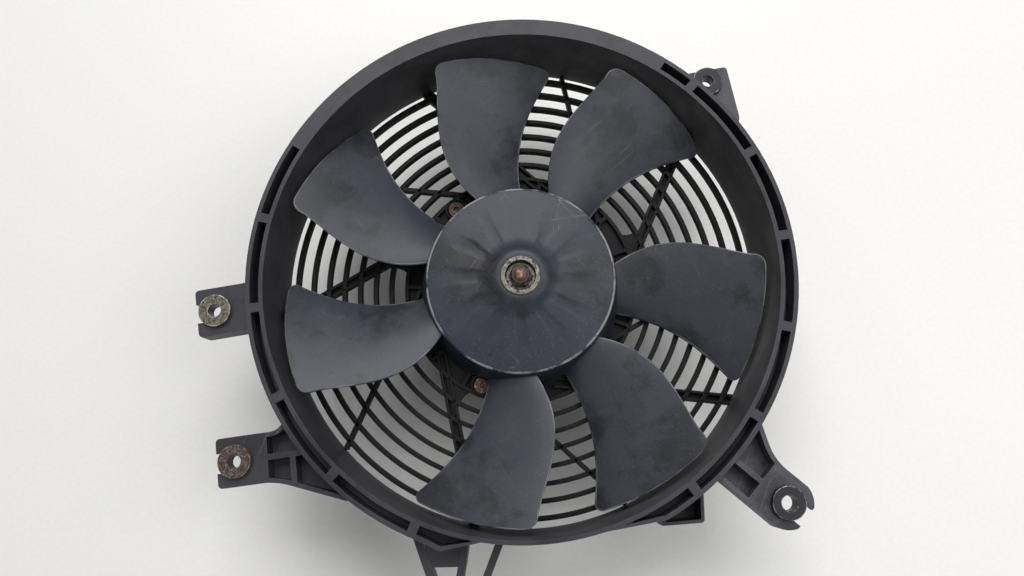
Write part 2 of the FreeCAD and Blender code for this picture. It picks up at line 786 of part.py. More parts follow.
def build_bottom_bracket():
    """The fifth fork, on a braced triangular frame that reaches out below the ring."""
    front = size("bracket_drop")
    back = front + size("bracket_thickness")
    half = size("bracket_half_width")
    foot_half = size("bracket_foot_half_width")
    foot = size("bracket_foot")
    knee = size("bracket_knee")
    knee_round = size("bracket_knee_round")
    tip = size("bracket_tip")
    bar = size("bracket_bar")
    wall = size("lug_wall")
    bury = size("lug_bury")
    corner = size("fork_corner")
    plate_back = front + size("lug_plate")
    spread = (foot_half - half) / (foot - knee)
    deep = foot + bury
    deep_half = foot_half + bury * spread
    whole = rounded_wire([
        (tip, -half, corner), (tip, half, corner), (-knee, half, knee_round),
        (-deep, deep_half, 0), (-deep, -deep_half, 0), (-knee, -half, knee_round)])
    bracket = prism(whole, front, back)
    legs = block(-deep, -deep_half, -knee - bar, deep_half, front, back)
    window = prism(whole.makeOffset2D(-bar, 1), front, back).common(legs)
    underside = prism(whole.makeOffset2D(-wall, 1), plate_back, back).cut(legs)
    bracket = bracket.cut(window).cut(underside)
    brace = block(-deep, -bar / 2, -knee - bar, bar / 2, front, back)
    brace.rotate(Vector(-knee - bar, 0, 0), Vector(0, 0, 1), -size("brace_turn"))
    bracket = bracket.fuse(brace.common(prism(whole, front, back)))
    bracket = bracket.cut(block(-size("bush_flange") - wall, -half + wall, tip + wall,
                                half - wall, plate_back, back))
    bracket = bracket.cut(fork(half, tip, front, back))
    x = size("bracket_x")
    y = size("bracket_y")
    turn = size("bracket_turn")
    bracket = seat_on_ring(bracket, x, y, turn, ring_back_core())
    bracket = max(bracket.Solids, key=lambda solid: solid.Volume)
    item = feature("bottom_bracket", bracket.removeSplitter())
    item.Placement = Placement(Vector(x, y, 0), Rotation(Vector(0, 0, 1), turn))


def build_connector_holder():
    """A small open box under the ring that takes the lead's connector."""
    x = size("holder_x")
    y = size("holder_y")
    left = x - size("holder_width") / 2
    right = x + size("holder_width") / 2
    bottom = y - size("holder_height") / 2
    top = y + size("holder_height") / 2
    wall = size("holder_wall")
    front = size("holder_front")
    back = front + size("holder_depth")
    outer = rounded_wire([
        (left, bottom - size("holder_slope"), 0), (right, bottom, size("holder_corner")),
        (right, top, 0), (left, top, 0)])
    holder = prism(outer, front, back)
    holder = holder.cut(prism(outer.makeOffset2D(-wall, 1), front, back - wall))
    holder = holder.cut(ring_back_core())
    holder = max(holder.Solids, key=lambda solid: solid.Volume)
    feature("connector_holder", holder.removeSplitter())


def build_bushes():
    """Spool bushes: two flanges with the lug's plate between them."""
    for name, lug, plate_front, bore in (
            ("upper_left", "upper_left", "lug_drop", "bush_bore"),
            ("lower_left", "lower_left", "lug_drop", "bush_bore"),
            ("lower_right", "lower_right", "lug_drop", "black_bush_bore"),
            ("upper_right", "upper_right", "low_lug_drop", "bush_bore"),
            ("bottom", "bracket", "bracket_drop", "bush_bore")):
        bush = new_body("bush_" + name)
        plate = f"(seat_gap - {plate_front})"
        front = f"({plate} + bush_flange_thickness)"
        under = f"(-seat_gap - {plate_front} - lug_plate)"
        back = f"({under} - bush_flange_thickness)"
        drawing = sketch(bush, name + "_bush_section", "XZ_Plane", [
            (bore, front),
            ("bush_flange", front),
            ("bush_flange", plate),
            ("bush_barrel", plate),
            ("bush_barrel", under),
            ("bush_flange", under),
            ("bush_flange", back),
            (bore, back),
        ])
        revolve(bush, name + "_bush_turned", drawing)
        bush.setExpression("Placement.Base.x", formula(lug + "_x"))
        bush.setExpression("Placement.Base.y", formula(lug + "_y"))


def through(stations, amounts, radius):
    """The smooth curve through four stations, read at one radius."""
    total = 0.0
    for n, amount in enumerate(amounts):
        share = amount
        for m, station in enumerate(stations):
            if m != n:
                share *= (radius - station) / (stations[n] - station)
        total += share
    return total


def build_blade():
    """One blade: a cambered sheet, high on one edge, trimmed to its outline in plan."""
    root = size("cap_radius") + size("hub_wall") / 4
    tip = size("fan_radius")
    stations = [size("drum_radius"), size("shoulder_radius"), size("middle_radius"), tip]
    high = [size(name + "_high_angle") for name in ("root", "shoulder", "middle", "tip")]
    low = [size(name + "_low_angle") for name in ("root", "shoulder", "middle", "tip")]
    thickness = size("blade_thickness")

    def height(radius, share):
        """Height of the sheet between its low edge, share 0, and its high edge, share 1."""
        outward = (radius - stations[0]) / (tip - stations[0])
        high_drop = size("root_high_drop") + outward * (size("tip_high_drop") - size("root_high_drop"))
        low_drop = size("root_low_drop") + outward * (size("tip_low_drop") - size("root_low_drop"))
        bulge = size("blade_camber") * 4 * share * (1 - share)
        return bulge - low_drop + share * (low_drop - high_drop)

    def place(radius, share):
        angle = through(stations, low, radius)
        angle += share * (through(stations, high, radius) - angle)
        way = math.radians(angle)
        return Vector(radius * math.cos(way), radius * math.sin(way), height(radius, share))

    rows = [root + (tip + 3 - root) * n / 5 for n in range(6)]
    shares = [-0.12 + 1.24 * n / 5 for n in range(6)]
    surface = Part.BSplineSurface()
    surface.interpolate([[place(radius, share) for share in shares] for radius in rows])
    sheet_solid = surface.toShape().extrude(Vector(0, 0, -thickness))

    # The outline in plan: two long edges, rounded corners and the tip arc
    corner = size("tip_corner")
    centre_radius = tip - corner
    edge_end = math.sqrt(centre_radius ** 2 - corner ** 2)
    reach = [root + (edge_end - root) * n / 5 for n in range(6)]

    def plan_edge(share):
        points = [place(radius, share) for radius in reach]
        points = [Vector(point.x, point.y, 0) for point in points]
        curve = Part.BSplineCurve()
        curve.interpolate(points)
        return curve.toShape(), points[0], points[-1]

    def corner_arc(edge_point, side):
        """The arc from a long edge to the tip circle; side is +1 at the low edge."""
        edge_angle = math.atan2(edge_point.y, edge_point.x)
        centre_angle = edge_angle + side * math.asin(corner / centre_radius)
        outward = Vector(math.cos(centre_angle), math.sin(centre_angle), 0)
        centre = outward * centre_radius
        touch = outward * tip
        halfway = ((edge_point - centre) + (touch - centre)).normalize()
        middle = centre + halfway * corner
        return Part.Arc(edge_point, middle, touch).toShape(), touch

    low_edge, low_root, low_end = plan_edge(0.0)
    high_edge, high_root, high_end = plan_edge(1.0)
    low_corner, low_touch = corner_arc(low_end, 1)
    high_corner, high_touch = corner_arc(high_end, -1)
    tip_middle = (low_touch + high_touch).normalize() * tip
    outline = Part.Wire([
        low_edge,
        low_corner,
        Part.Arc(low_touch, tip_middle, high_touch).toShape(),
        high_corner,
        high_edge,
        Part.LineSegment(high_root, low_root).toShape(),
    ])
    return sheet_solid.common(prism(outline, 0, size("ring_depth")))


def build_fan():
    """Hub and seven blades, one moulding."""
    hub = new_body("fan_hub", export=False)
    section = sketch(hub, "hub_section", "XZ_Plane", [
        ("insert_radius + seat_gap", "-boss_front"),
        ("boss_radius", "-boss_front"),
        ("boss_foot", "-face_front"),
        ("cap_radius", "-cap_front"),
        ("drum_radius", "-drum_back"),
        ("drum_radius - hub_wall", "-drum_back"),
        ("cap_radius - hub_wall", "-cap_front - hub_wall"),
        ("boss_radius", "-face_front - hub_wall"),
        ("boss_radius", "-boss_back"),
        ("insert_radius + seat_gap", "-boss_back"),
    ])
    revolve(hub, "hub_shell", section)
    rib_plan = sketch(hub, "hub_rib_section", "XZ_Plane", [
        ("boss_radius - hub_wall / 2", "-face_front - hub_wall / 2"),
        ("boss_radius - hub_wall / 2", "-hub_rib_back"),
        ("drum_radius - 1.5 * hub_wall", "-hub_rib_back"),
        ("cap_radius - 1.5 * hub_wall", "-cap_front - hub_wall / 2"),
    ])
    rib = pad(hub, "hub_rib", rib_plan, "hub_rib_width")
    rib.Midplane = True
    turn_plan = sketch(hub, "hub_rib_axis", "XY_Plane", rectangle("-1", "-1", "1", "1"))
    repeat(hub, "hub_rib_row", rib, turn_plan, "360", "hub_ribs")
    doc.recompute()
    edge_name = ring_edge(hub.Shape, size("cap_radius"), size("cap_front"))
    before_rounding = hub.Tip
    rounding = hub.newObject("PartDesign::Fillet", "cap_rounding")
    rounding.Base = (before_rounding, [edge_name])
    rounding.setExpression("Radius", formula("cap_round"))
    hub.Tip = rounding
    doc.recompute()

    shape = build_blade()
    parts = [hub]
    axes = [name for name in SIZES if name.startswith("blade_axis_")]
    for n, axis in enumerate(axes, 1):
        blade = feature(f"fan_blade_{n}", shape, export=False)
        blade.Placement = Placement(Vector(0, 0, 0), Rotation(Vector(0, 0, 1), 1))
        blade.setExpression("Placement.Rotation.Angle", formula(axis))
        parts.append(blade)
    fan = doc.addObject("Part::MultiFuse", "fan")
    fan.Shapes = parts
    exported.append(fan)


def ring_edge(shape, radius, drop):
    """The name of the full circle with this radius at this depth."""
    for n, edge in enumerate(shape.Edges, 1):
        box = edge.BoundBox
        misses = (box.ZMin + drop, box.ZMax + drop, box.XMax - radius)
        if max(abs(miss) for miss in misses) < 0.01:
            return f"Edge{n}"
    raise ValueError("no such circle")


def build_drive():
    """What clamps the fan to the shaft, and the shaft itself."""
    insert = new_body("hub_insert")
    recess_floor = "-insert_front - insert_recess_depth"
    section = sketch(insert, "insert_section", "XZ_Plane", [
        ("shaft_seat", recess_floor),
        ("insert_recess", recess_floor),
        ("insert_recess", "-insert_front"),
        ("insert_radius", "-insert_front"),
        ("insert_radius", "-boss_back"),
        ("shaft_seat", "-boss_back"),
    ])
    revolve(insert, "insert_turned", section)

    nut = new_body("lock_nut")
    half = "nut_flats / 2"
    corner = "nut_flats / sqrt(3)"
    outline = [(f"{corner} * cos({60 * n})", f"{corner} * sin({60 * n})") for n in range(6)]
    hexagonal = sketch(nut, "nut_outline", "XY_Plane", outline, drop="nut_front + nut_height")
    pad(nut, "nut_flats_pad", hexagonal, "nut_height")
    collar = sketch(nut, "nut_collar_section", "XZ_Plane", [
        ("shaft_seat", "-nut_front - nut_chamfer"),
        (half, "-nut_front - nut_chamfer"),
        ("nut_collar", "-nut_front"),
        ("nut_collar", "-nut_front + nut_collar_height - nut_chamfer"),
        ("nut_collar - nut_chamfer", "-nut_front + nut_collar_height"),
        ("shaft_seat", "-nut_front + nut_collar_height"),
    ])
    revolve(nut, "nut_collar_turned", collar)
    bore = round_sketch(nut, "nut_bore_outline", "0", "shaft_seat", drop="nut_front + nut_height")
    pocket(nut, "nut_bore", bore, "nut_height")

    shaft = new_body("motor_shaft")
    section = sketch(shaft, "shaft_section", "XZ_Plane", [
        ("0", "-shaft_end"),
        ("shaft_radius", "-shaft_end"),
        ("shaft_radius", "-shaft_tip - shaft_chamfer"),
        ("shaft_radius - shaft_chamfer", "-shaft_tip"),
        ("0", "-shaft_tip"),
    ])
    revolve(shaft, "shaft_turned", section)

    spacer = new_body("shaft_spacer")
    section = sketch(spacer, "spacer_section", "XZ_Plane", rectangle(
        "shaft_seat", "-can_front + thrust_gap", "spacer_radius", "-boss_back - seat_gap"))
    revolve(spacer, "spacer_turned", section)


def build_motor_casing():
    can = new_body("motor_can")
    pocket_outer = "bearing_seat + pocket_wall"
    pocket_back = "rear_bearing_front + bearing_length"
    boss_back = f"-({pocket_back} + pocket_wall)"
    section = sketch(can, "can_section", "XZ_Plane", [
        ("can_bore", "-can_front"),
        ("motor_radius", "-can_front"),
        ("motor_radius", "-can_back"),
        (pocket_outer, "-can_back"),
        (pocket_outer, boss_back),
        ("0", boss_back),
        ("0", f"-({pocket_back})"),
        ("bearing_seat", f"-({pocket_back})"),
        ("bearing_seat", "-rear_bearing_front"),
        ("can_bore", "-rear_bearing_front"),
    ])
    revolve(can, "can_drawn", section)

    cover = new_body("motor_front_cover")
    section = sketch(cover, "cover_section", "XZ_Plane", [
        ("cover_opening", "-cover_front"),
        ("motor_radius", "-cover_front"),
        ("motor_radius", "-can_front"),
        (pocket_outer, "-can_front"),
        (pocket_outer, "-can_front - bearing_length"),
        ("bearing_seat", "-can_front - bearing_length"),
        ("bearing_seat", "-can_front"),
        ("cover_opening", "-can_front"),
    ])
    revolve(cover, "cover_pressed", section)

    for name, front in (("front_bearing", "can_front"), ("rear_bearing", "rear_bearing_front")):
        bearing = new_body(name)
        section = sketch(bearing, name + "_section", "XZ_Plane", rectangle(
            "shaft_hole", f"-{front} - bearing_length", "bearing_radius", f"-{front}"))
        revolve(bearing, name + "_turned", section)

    flange = new_body("motor_flange")
    bore = "motor_radius + seat_gap"
    flange_back = "ring_depth + flange_thickness"
    section = sketch(flange, "flange_section", "XZ_Plane", rectangle(
        bore, f"-({flange_back})", "flange_radius", "-ring_depth"))
    revolve(flange, "flange_disc", section)
    ear_plan = sketch(flange, "ear_outline", "XY_Plane", [
        ("flange_radius - 2 * flange_thickness", "-ear_radius * 1.6"),
        ("fixing_radius", "-ear_radius"),
        ("fixing_radius + ear_radius * 0.7", "-ear_radius * 0.7"),
        ("fixing_radius + ear_radius", "0"),
        ("fixing_radius + ear_radius * 0.7", "ear_radius * 0.7"),
        ("fixing_radius", "ear_radius"),
        ("flange_radius - 2 * flange_thickness", "ear_radius * 1.6"),
    ], turn="fixing_angle", drop=flange_back)
    ear = pad(flange, "ear", ear_plan, "flange_thickness")
    repeat(flange, "ear_row", ear, ear_plan, "360", "fixings")
    hole_plan = round_sketch(flange, "ear_hole_outline", "fixing_radius",
                             "screw_radius + thread_room", turn="fixing_angle", drop=flange_back)
    hole = pocket(flange, "ear_hole", hole_plan, "flange_thickness")
    repeat(flange, "ear_hole_row", hole, hole_plan, "360", "fixings")


def build_motor_inside():
    seat = size("seat_gap")
    can_bore = size("can_bore")
    magnet_front = size("magnet_front")
    magnet_back = magnet_front + size("magnet_length")
    shell = tube(can_bore - seat, size("magnet_inner"), magnet_front, magnet_back)
    span = size("magnet_angle")
    foot = Vector(0, 0, -magnet_back)
    wedge = Part.makeCylinder(can_bore, magnet_back, foot, Vector(0, 0, 1), span)
    magnets = int(size("magnets"))
    turns = [360 / magnets * n - span / 2 for n in range(magnets)]
    arcs = [shell.common(turned_about_axis(wedge, turn)) for turn in turns]
    feature("field_magnets", Part.makeCompound(arcs))

    core_front = size("core_front")
    core_back = size("core_back")
    core_radius = size("core_radius")
    core = tube(core_radius, size("shaft_seat"), core_front, core_back)
    slot_half = size("slot_width") / 2
    slots = int(size("core_slots"))
    slot = block(core_radius - size("slot_depth"), -slot_half, core_radius + 1, slot_half,
                 core_front, core_back)
    for n in range(slots):
        core = core.cut(turned_about_axis(slot, 360 / slots * n))
    feature("armature_core", core)

    coil_outer = core_radius - size("coil_margin")
    coil_inner = size("coil_inner")
    height = size("coil_height")
    coils = []
    for front in (core_front - height, core_back):
        coil = tube(coil_outer, coil_inner, front, front + height)
        far = front if front < core_front else front + height
        rims = [edge for edge in coil.Edges
                if abs(edge.BoundBox.ZMin + far) < 0.001 and abs(edge.BoundBox.ZMax + far) < 0.001]
        coils.append(coil.makeChamfer(height / 3, rims))
    feature("armature_windings", Part.makeCompound(coils))

    card_front = size("card_front")
    feature("commutator", tube(size("commutator_radius"), size("shaft_seat"),
                               size("commutator_front"), card_front))

    # Two carbon brushes in box holders on an insulating card, each pressed by a spring
    card = tube(can_bore - size("card_margin"), size("card_bore"), card_front, size("card_back"))
    width = size("brush_width")
    tall = size("brush_height")
    play = size("brush_play")
    sheet_gauge = size("holder_thickness")
    start = size("commutator_radius") + size("brush_gap")
    end = start + size("brush_length")
    brush_back = card_front - play
    brush_front = brush_back - tall
    box_outer = can_bore - size("card_margin") - sheet_gauge
    room = width / 2 + play
    guide = block(size("card_bore"), -room - sheet_gauge, box_outer, room + sheet_gauge,
                  brush_front - play - sheet_gauge, card_front)
    channel = block(0, -room, box_outer - sheet_gauge, room, brush_front - play, card_front)
    guide = guide.cut(channel)
    brush = block(start, -width / 2, end, width / 2, brush_front, brush_back)
    spring_start = Vector(end, 0, -(brush_front + brush_back) / 2)
    spring_length = box_outer - sheet_gauge - end
    outward = Vector(1, 0, 0)
    spring = Part.makeCylinder(size("spring_radius"), spring_length, spring_start, outward)
    spring = spring.cut(Part.makeCylinder(size("spring_bore"), spring_length, spring_start, outward))
    count = int(size("brush_count"))
    angles = [360 / count * n for n in range(count)]
    for angle in angles:
        card = card.fuse(turned_about_axis(guide, angle))
    feature("brush_card", card)
    feature("carbon_brushes", Part.makeCompound([turned_about_axis(brush, angle) for angle in angles]))
    feature("brush_springs", Part.makeCompound([turned_about_axis(spring, angle) for angle in angles]))


def build_lead_gland():
    """The rubber gland in the can's side where the leads come out."""
    motor_radius = size("motor_radius")
    drop = size("gland_drop")
    angle = math.radians(size("gland_angle"))
    way = Vector(math.cos(angle), math.sin(angle), 0)
    start = way * (motor_radius - size("can_wall")) - Vector(0, 0, drop)
    gland = Part.makeCylinder(size("gland_radius"), size("gland_length") + size("can_wall"), start, way)
    bore = Part.makeCylinder(size("gland_bore"), size("gland_length") + size("can_wall"), start, way)
    gland = gland.cut(bore).cut(round_bar(motor_radius + size("seat_gap"), 0, size("shaft_end")))
    feature("lead_gland", gland)


def check_and_write():
    doc.recompute()
    for item in doc.Objects:
        if "Invalid" in item.State or "Error" in item.State:
            raise ValueError(f"{item.Label} failed: {item.State}")
    os.makedirs("parts", exist_ok=True)
    for item in exported:
        shape = item.Shape
        if shape.isNull() or not shape.isValid():
            raise ValueError(f"{item.Label} has no valid shape")
    for item in exported:
        item.Shape.exportStep(f"parts/{item.Label}.step")
        print(item.Label, len(item.Shape.Solids), round(item.Shape.Volume, 1))


fill_sheet()
build_shroud_ring()
build_rear_guard()
build_lugs()
build_bottom_bracket()
build_connector_holder()
build_bushes()
build_fan()
build_drive()
build_motor_casing()
build_motor_inside()
build_lead_gland()
check_and_write()
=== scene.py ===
"""Dresses a radiator fan: worn plastic, rusty bushes and the finer pieces on its solids."""

import math

import bmesh
import bpy
from bpy.props import FloatProperty, FloatVectorProperty, IntProperty, PointerProperty
from mathutils import Matrix, Vector


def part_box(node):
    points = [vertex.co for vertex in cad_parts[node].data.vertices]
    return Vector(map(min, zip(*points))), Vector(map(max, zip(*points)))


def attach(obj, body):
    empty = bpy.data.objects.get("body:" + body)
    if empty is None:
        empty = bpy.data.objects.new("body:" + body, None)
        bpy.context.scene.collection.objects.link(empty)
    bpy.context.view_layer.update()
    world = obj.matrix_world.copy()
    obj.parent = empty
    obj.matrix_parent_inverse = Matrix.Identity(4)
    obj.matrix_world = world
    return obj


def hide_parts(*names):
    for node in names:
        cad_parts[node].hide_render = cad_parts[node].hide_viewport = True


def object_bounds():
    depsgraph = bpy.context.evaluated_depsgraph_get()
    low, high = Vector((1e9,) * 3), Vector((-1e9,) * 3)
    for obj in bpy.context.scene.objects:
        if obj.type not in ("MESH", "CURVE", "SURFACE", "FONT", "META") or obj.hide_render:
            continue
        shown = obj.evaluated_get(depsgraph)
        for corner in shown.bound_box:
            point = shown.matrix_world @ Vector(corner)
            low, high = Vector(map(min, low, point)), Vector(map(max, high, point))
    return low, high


bl_info = {
    "name": "Radiator Fan Dresser",
    "version": (1, 0, 0),
    "blender": (4, 5, 0),
    "location": "View3D > Sidebar > Radiator Fan",
    "description": "Builds the fan, guard, bushes and finishes of a radiator fan on its solids",
    "category": "Object",
}

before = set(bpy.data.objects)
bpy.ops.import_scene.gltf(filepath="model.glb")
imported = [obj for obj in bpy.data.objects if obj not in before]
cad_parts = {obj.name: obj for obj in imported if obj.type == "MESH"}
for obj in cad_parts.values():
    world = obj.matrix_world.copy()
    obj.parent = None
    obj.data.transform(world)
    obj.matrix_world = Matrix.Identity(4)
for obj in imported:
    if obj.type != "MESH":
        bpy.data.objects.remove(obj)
CAD_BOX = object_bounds()

MM = 0.001
DEGREE = math.pi / 180
WORN = "worn"
# Faces given extra dust on the ring's throat: partly dust, partly painted light
DUST_AND_LIGHT = "dust_and_painted_light"
SHROUD = "shroud"
ROTOR = "rotor"

GUARD_LOW, GUARD_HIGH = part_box("rear_guard")
INSERT_LOW, INSERT_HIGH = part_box("hub_insert")
SHAFT_LOW, SHAFT_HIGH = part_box("motor_shaft")

FLOAT = "NodeSocketFloat"
VECTOR = "NodeSocketVector"
COLOUR = "NodeSocketColor"
GEOMETRY = "NodeSocketGeometry"
MATERIAL = "NodeSocketMaterial"
SOCKETS = {float: FLOAT, int: "NodeSocketInt", tuple: COLOUR}
GREY = (0.5, 0.5, 0.5, 1.0)


# Sizes and colours


def scaled(value, factor):
    """A number, or each number of a row, times a factor."""
    if isinstance(value, float):
        return value * factor
    return tuple(part * factor for part in value)


def number(label, description, value, **settings):
    """The property for one number, or for a row of them."""
    if isinstance(value, tuple):
        return FloatVectorProperty(name=label, description=description, default=value,
                                   size=len(value), **settings)
    return FloatProperty(name=label, description=description, default=value, **settings)


def depth(label, description, millimetres, **settings):
    return number(label, description, scaled(millimetres, MM), unit="LENGTH", precision=5,
                  **settings)


def length(label, description, millimetres):
    return depth(label, description, millimetres, min=0.0)


def turns(label, description, degrees):
    return number(label, description, scaled(degrees, DEGREE), unit="ROTATION")


def colour(label, description, value):
    return number(label, description, value, subtype="COLOR", min=0.0, max=1.0)


def integer(label, description, value):
    return IntProperty(name=label, description=description, default=value, min=1)


class BladeSizes(bpy.types.PropertyGroup):
    root: length("Root radius", "Radius of the drum at a blade's root", 64.5)
    sunk: length("Sunk root", "How far a blade runs on into the tapered drum", 4.15)
    tip: length("Tip radius", "Radius of the blades' tips", 150.5)
    high_corner: length("High tip corner", "Rounding in plan at the high edge's end", 8.0)
    low_corner: length("Low tip corner", "Rounding in plan at the low edge's end", 4.5)
    thickness: length("Thickness", "Thickness of a blade", 2.8)
    camber: length("Camber", "Rise of a blade's middle over its edges", 4.0)
    edge: length("Edge rounding", "Rounding along a blade's rim", 0.8)
    stations: length("Stations", "Radii at which the edge angles below are given",
                     (64.5, 85.0, 117.0, 150.5))
    high_angles: turns("High edge", "Angle of the high edge at each station",
                       (21.4, 24.0, 19.4, 14.1))
    low_angles: turns("Low edge", "Angle of the low edge at each station",
                      (-7.7, -7.0, -10.4, -16.3))
    high_depths: depth("High edge depth", "Depth of the high edge at root and tip", (-26.0, -8.0))
    low_depths: depth("Low edge depth", "Depth of the low edge at root and tip", (-42.5, -40.0))
    axes: turns("Blade axes", "Turn of each blade about the shaft",
                (98.0, 52.6, -9.4, -56.3, -100.5, -164.6, 149.1))


class HubSizes(bpy.types.PropertyGroup):
    bore: length("Bore", "Radius of the hole for the steel insert", 12.52)
    boss: length("Boss", "Radius of the raised boss's flat", 16.0)
    foot: length("Boss foot", "Radius where the boss meets the face", 23.0)
    boss_rounding: length("Boss rounding", "Rounding of the boss's shoulder", 7.0)
    foot_rounding: length("Foot rounding", "Hollow rounding at the boss's foot", 16.0)
    cap: length("Cap", "Radius of the face", 59.6)
    drum: length("Drum", "Radius of the drum at its back", 64.5)
    wall: length("Wall", "Thickness of the shell", 3.0)
    boss_front: depth("Boss front", "Height of the boss's flat", -12.0)
    face_front: depth("Face front", "Height of the face beside the boss", -17.5)
    cap_front: depth("Cap front", "Height of the face at its rim", -22.0)
    drum_back: depth("Drum back", "Height of the drum's back rim", -44.0)
    boss_back: depth("Boss back", "Height of the boss's back", -30.0)
    ribs: integer("Ribs", "Ribs behind the face", 8)
    rib_width: length("Rib width", "Thickness of a rib", 2.2)
    rib_back: depth("Rib back", "Height of the ribs' back edges", -29.0)
    rib_turn: turns("Rib turn", "Turn of the first rib", 0.0)


class GuardSizes(bpy.types.PropertyGroup):
    rings: integer("Rings", "Rings outside the motor mount", 7)
    first: length("First ring", "Middle radius of the mount's outer wall", 75.2)
    pitch: length("Pitch", "From one ring's middle to the next", 10.35)
    bar: length("Bar width", "Width of a ring's bar", 3.0)
    edge: length("Edge rounding", "Rounding of the bars' corners", 0.6)
    mount_outer: length("Mount outer", "Outer radius of the motor mount", 76.5)
    mount_inner: length("Mount inner", "Inner radius of the motor mount's channel", 62.8)
    wall: length("Mount wall", "Thickness of the mount's walls", 2.6)
    floor: length("Mount floor", "Thickness of the mount's floor", 2.5)
    floor_bore: length("Floor bore", "Radius of the opening round the motor", 38.8)
    ribs: integer("Mount ribs", "Ribs between the mount's walls", 18)
    rib: length("Mount rib", "Thickness of the mount's ribs", 2.4)
    offset: length("Arm offset", "How far each arm passes from the axis", 60.0)
    pairs: integer("Arm pairs", "Pairs of a wide and a narrow arm", 5)
    arm_turn: turns("Arm turn", "Turn of the first arm", 66.5)
    wide: length("Wide arm", "Width of a wide arm", 7.0)
    narrow: length("Narrow arm", "Width of a narrow arm", 3.0)
    trough: length("Trough", "Width of the trough along a wide arm", 3.2)
    trough_depth: length("Trough depth", "Depth of that trough", 4.0)
    web: length("Web", "Thickness of the webs between wide arms and mount", 4.5)
    web_depth: length("Web depth", "How far a web reaches in from its arm", 15.0)
    fixings: integer("Fixings", "Screw bosses on the mount", 3)
    fixing_radius: length("Fixing radius", "Radius of the screws' circle", 68.9)
    fixing_turn: turns("Fixing turn", "Turn of the first screw boss", 129.0)
    boss: length("Boss", "Radius of a screw boss", 7.6)
    head_hole: length("Head hole", "Radius of the recess round a screw's head", 6.0)
    shank_hole: length("Shank hole", "Radius of the hole for a screw's shank", 3.05)


class BushSizes(bpy.types.PropertyGroup):
    flange: length("Flange", "Radius of a bush's flanges", 9.7)
    barrel: length("Barrel", "Radius of the barrel between them", 6.3)
    flange_height: length("Flange height", "Thickness of a flange", 3.2)
    bore: length("Bore", "Radius of the bolt hole", 3.7)
    wide_bore: length("Wide bore", "Radius of the hole at the lower right", 4.3)
    edge: length("Edge rounding", "Rounding of a flange's rim", 0.5)
    mouth: length("Mouth rounding", "Rounding at the mouths of the bolt hole", 1.1)


class DriveSizes(bpy.types.PropertyGroup):
    bore: length("Bore", "Radius of the insert's bore", 4.02)
    recess: length("Recess", "Radius of the recess round the nut", 9.0)
    recess_depth: length("Recess depth", "Depth of that recess", 4.5)
    thread: length("Thread", "Length of the shaft's threaded end", 10.0)
    thread_depth: length("Thread depth", "Depth of the thread", 0.55)
    ridges: integer("Ridges", "Ridges of the thread", 7)
    first_ridge: length("First ridge", "From the shaft's tip to the first ridge", 1.3)
    pitch: length("Pitch", "From one ridge to the next", 1.25)


class FinishColours(bpy.types.PropertyGroup):
    shroud: colour("Shroud", "Moulded shroud plastic", (0.029, 0.029, 0.036))
    # Painted light: the right lugs' colour is the shroud plastic painted paler, for the light that
    # falls on that side.
    lug: colour("Right lugs", "Paler plastic of the right lugs", (0.0464, 0.0464, 0.0576))
    guard: colour("Guard", "Rear guard plastic", (0.0085, 0.0085, 0.0095))
    shroud_worn: colour("Shroud, rubbed", "Rubbed edges of the shroud", (0.22, 0.22, 0.23))
    blade: colour("Blade", "Fan plastic", (0.036, 0.039, 0.051))
    blade_worn: colour("Blade, rubbed", "Rubbed edges of the blades", (0.30, 0.30, 0.32))
    hub: colour("Hub", "Hub face", (0.024, 0.027, 0.040))
    dust: colour("Dust", "Dry grey dust", (0.30, 0.29, 0.28))
    stain: colour("Stain", "Dark stains under the dust", (0.004, 0.004, 0.005))
    zinc: colour("Zinc", "Dulled zinc plate", (0.12, 0.112, 0.092))
    rust: colour("Rust", "Dark brown rust", (0.075, 0.042, 0.030))
    screw_rust: colour("Screw rust", "Rust on the screws", (0.10, 0.06, 0.04))
    pit: colour("Pit", "Pits in the rust", (0.03, 0.018, 0.012))
    rubbed: colour("Rubbed steel", "Bright edges of steel", (0.62, 0.60, 0.56))
    rusty: colour("Rusty bush", "Steel of the rusty bush", (0.13, 0.11, 0.105))
    blackened: colour("Black coat", "Blackened steel", (0.020, 0.020, 0.023))
    steel: colour("Steel", "Bare steel of the screws", (0.17, 0.165, 0.16))
    insert: colour("Insert", "Steel of the hub's insert", (0.12, 0.116, 0.105))
    nut: colour("Nut", "Steel of the lock nut", (0.03, 0.027, 0.024))
    shaft: colour("Shaft", "Steel of the shaft", (0.19, 0.12, 0.095))
    paint: colour("Motor paint", "Satin black paint", (0.012, 0.012, 0.013))


class StageSettings(bpy.types.PropertyGroup):
    floor: colour("Floor", "Plain pale floor", (0.82, 0.81, 0.79))
    floor_size: length("Floor size", "Side of the square floor", 9000.0)
    gap: length("Gap", "Space left under the part", 0.5)
    fade: length("Fade", "Where the floor starts and ends to fade into the background",
                 (700.0, 1800.0))
    lens: number("Lens", "Focal length, millimetres", 28.125)
    tilt: turns("Tilt", "Camera's turn about X", -11.82)
    swing: turns("Swing", "Camera's turn about Y", -0.94)
    reach: depth("Reach", "The part's origin as the camera sees it", (5.0, 10.3, -480.5))
    sky: number("Sky", "Strength of the even light all round", 0.34)
    low_sky: colour("Low sky", "Even light near the floor", (0.28, 0.29, 0.30))
    high_sky: colour("High sky", "Even light from above", (0.97, 0.985, 1.0))
    backdrop: number("Backdrop", "Strength of the pale background, beyond the floor", 1.1)
    key: number("Key lamp", "Power of the large lamp, watts", 56.0)
    key_size: length("Key size", "Side of the large lamp", 1800.0)
    key_place: depth("Key place", "Where the large lamp hangs", (-100.0, 1450.0, 2200.0))
    fill: number("Fill lamp", "Power of the second lamp, watts", 9.0)
    fill_size: length("Fill size", "Side of the second lamp", 1000.0)
    fill_place: depth("Fill place", "Where the second lamp hangs", (1000.0, -100.0, 1350.0))


# Node trees


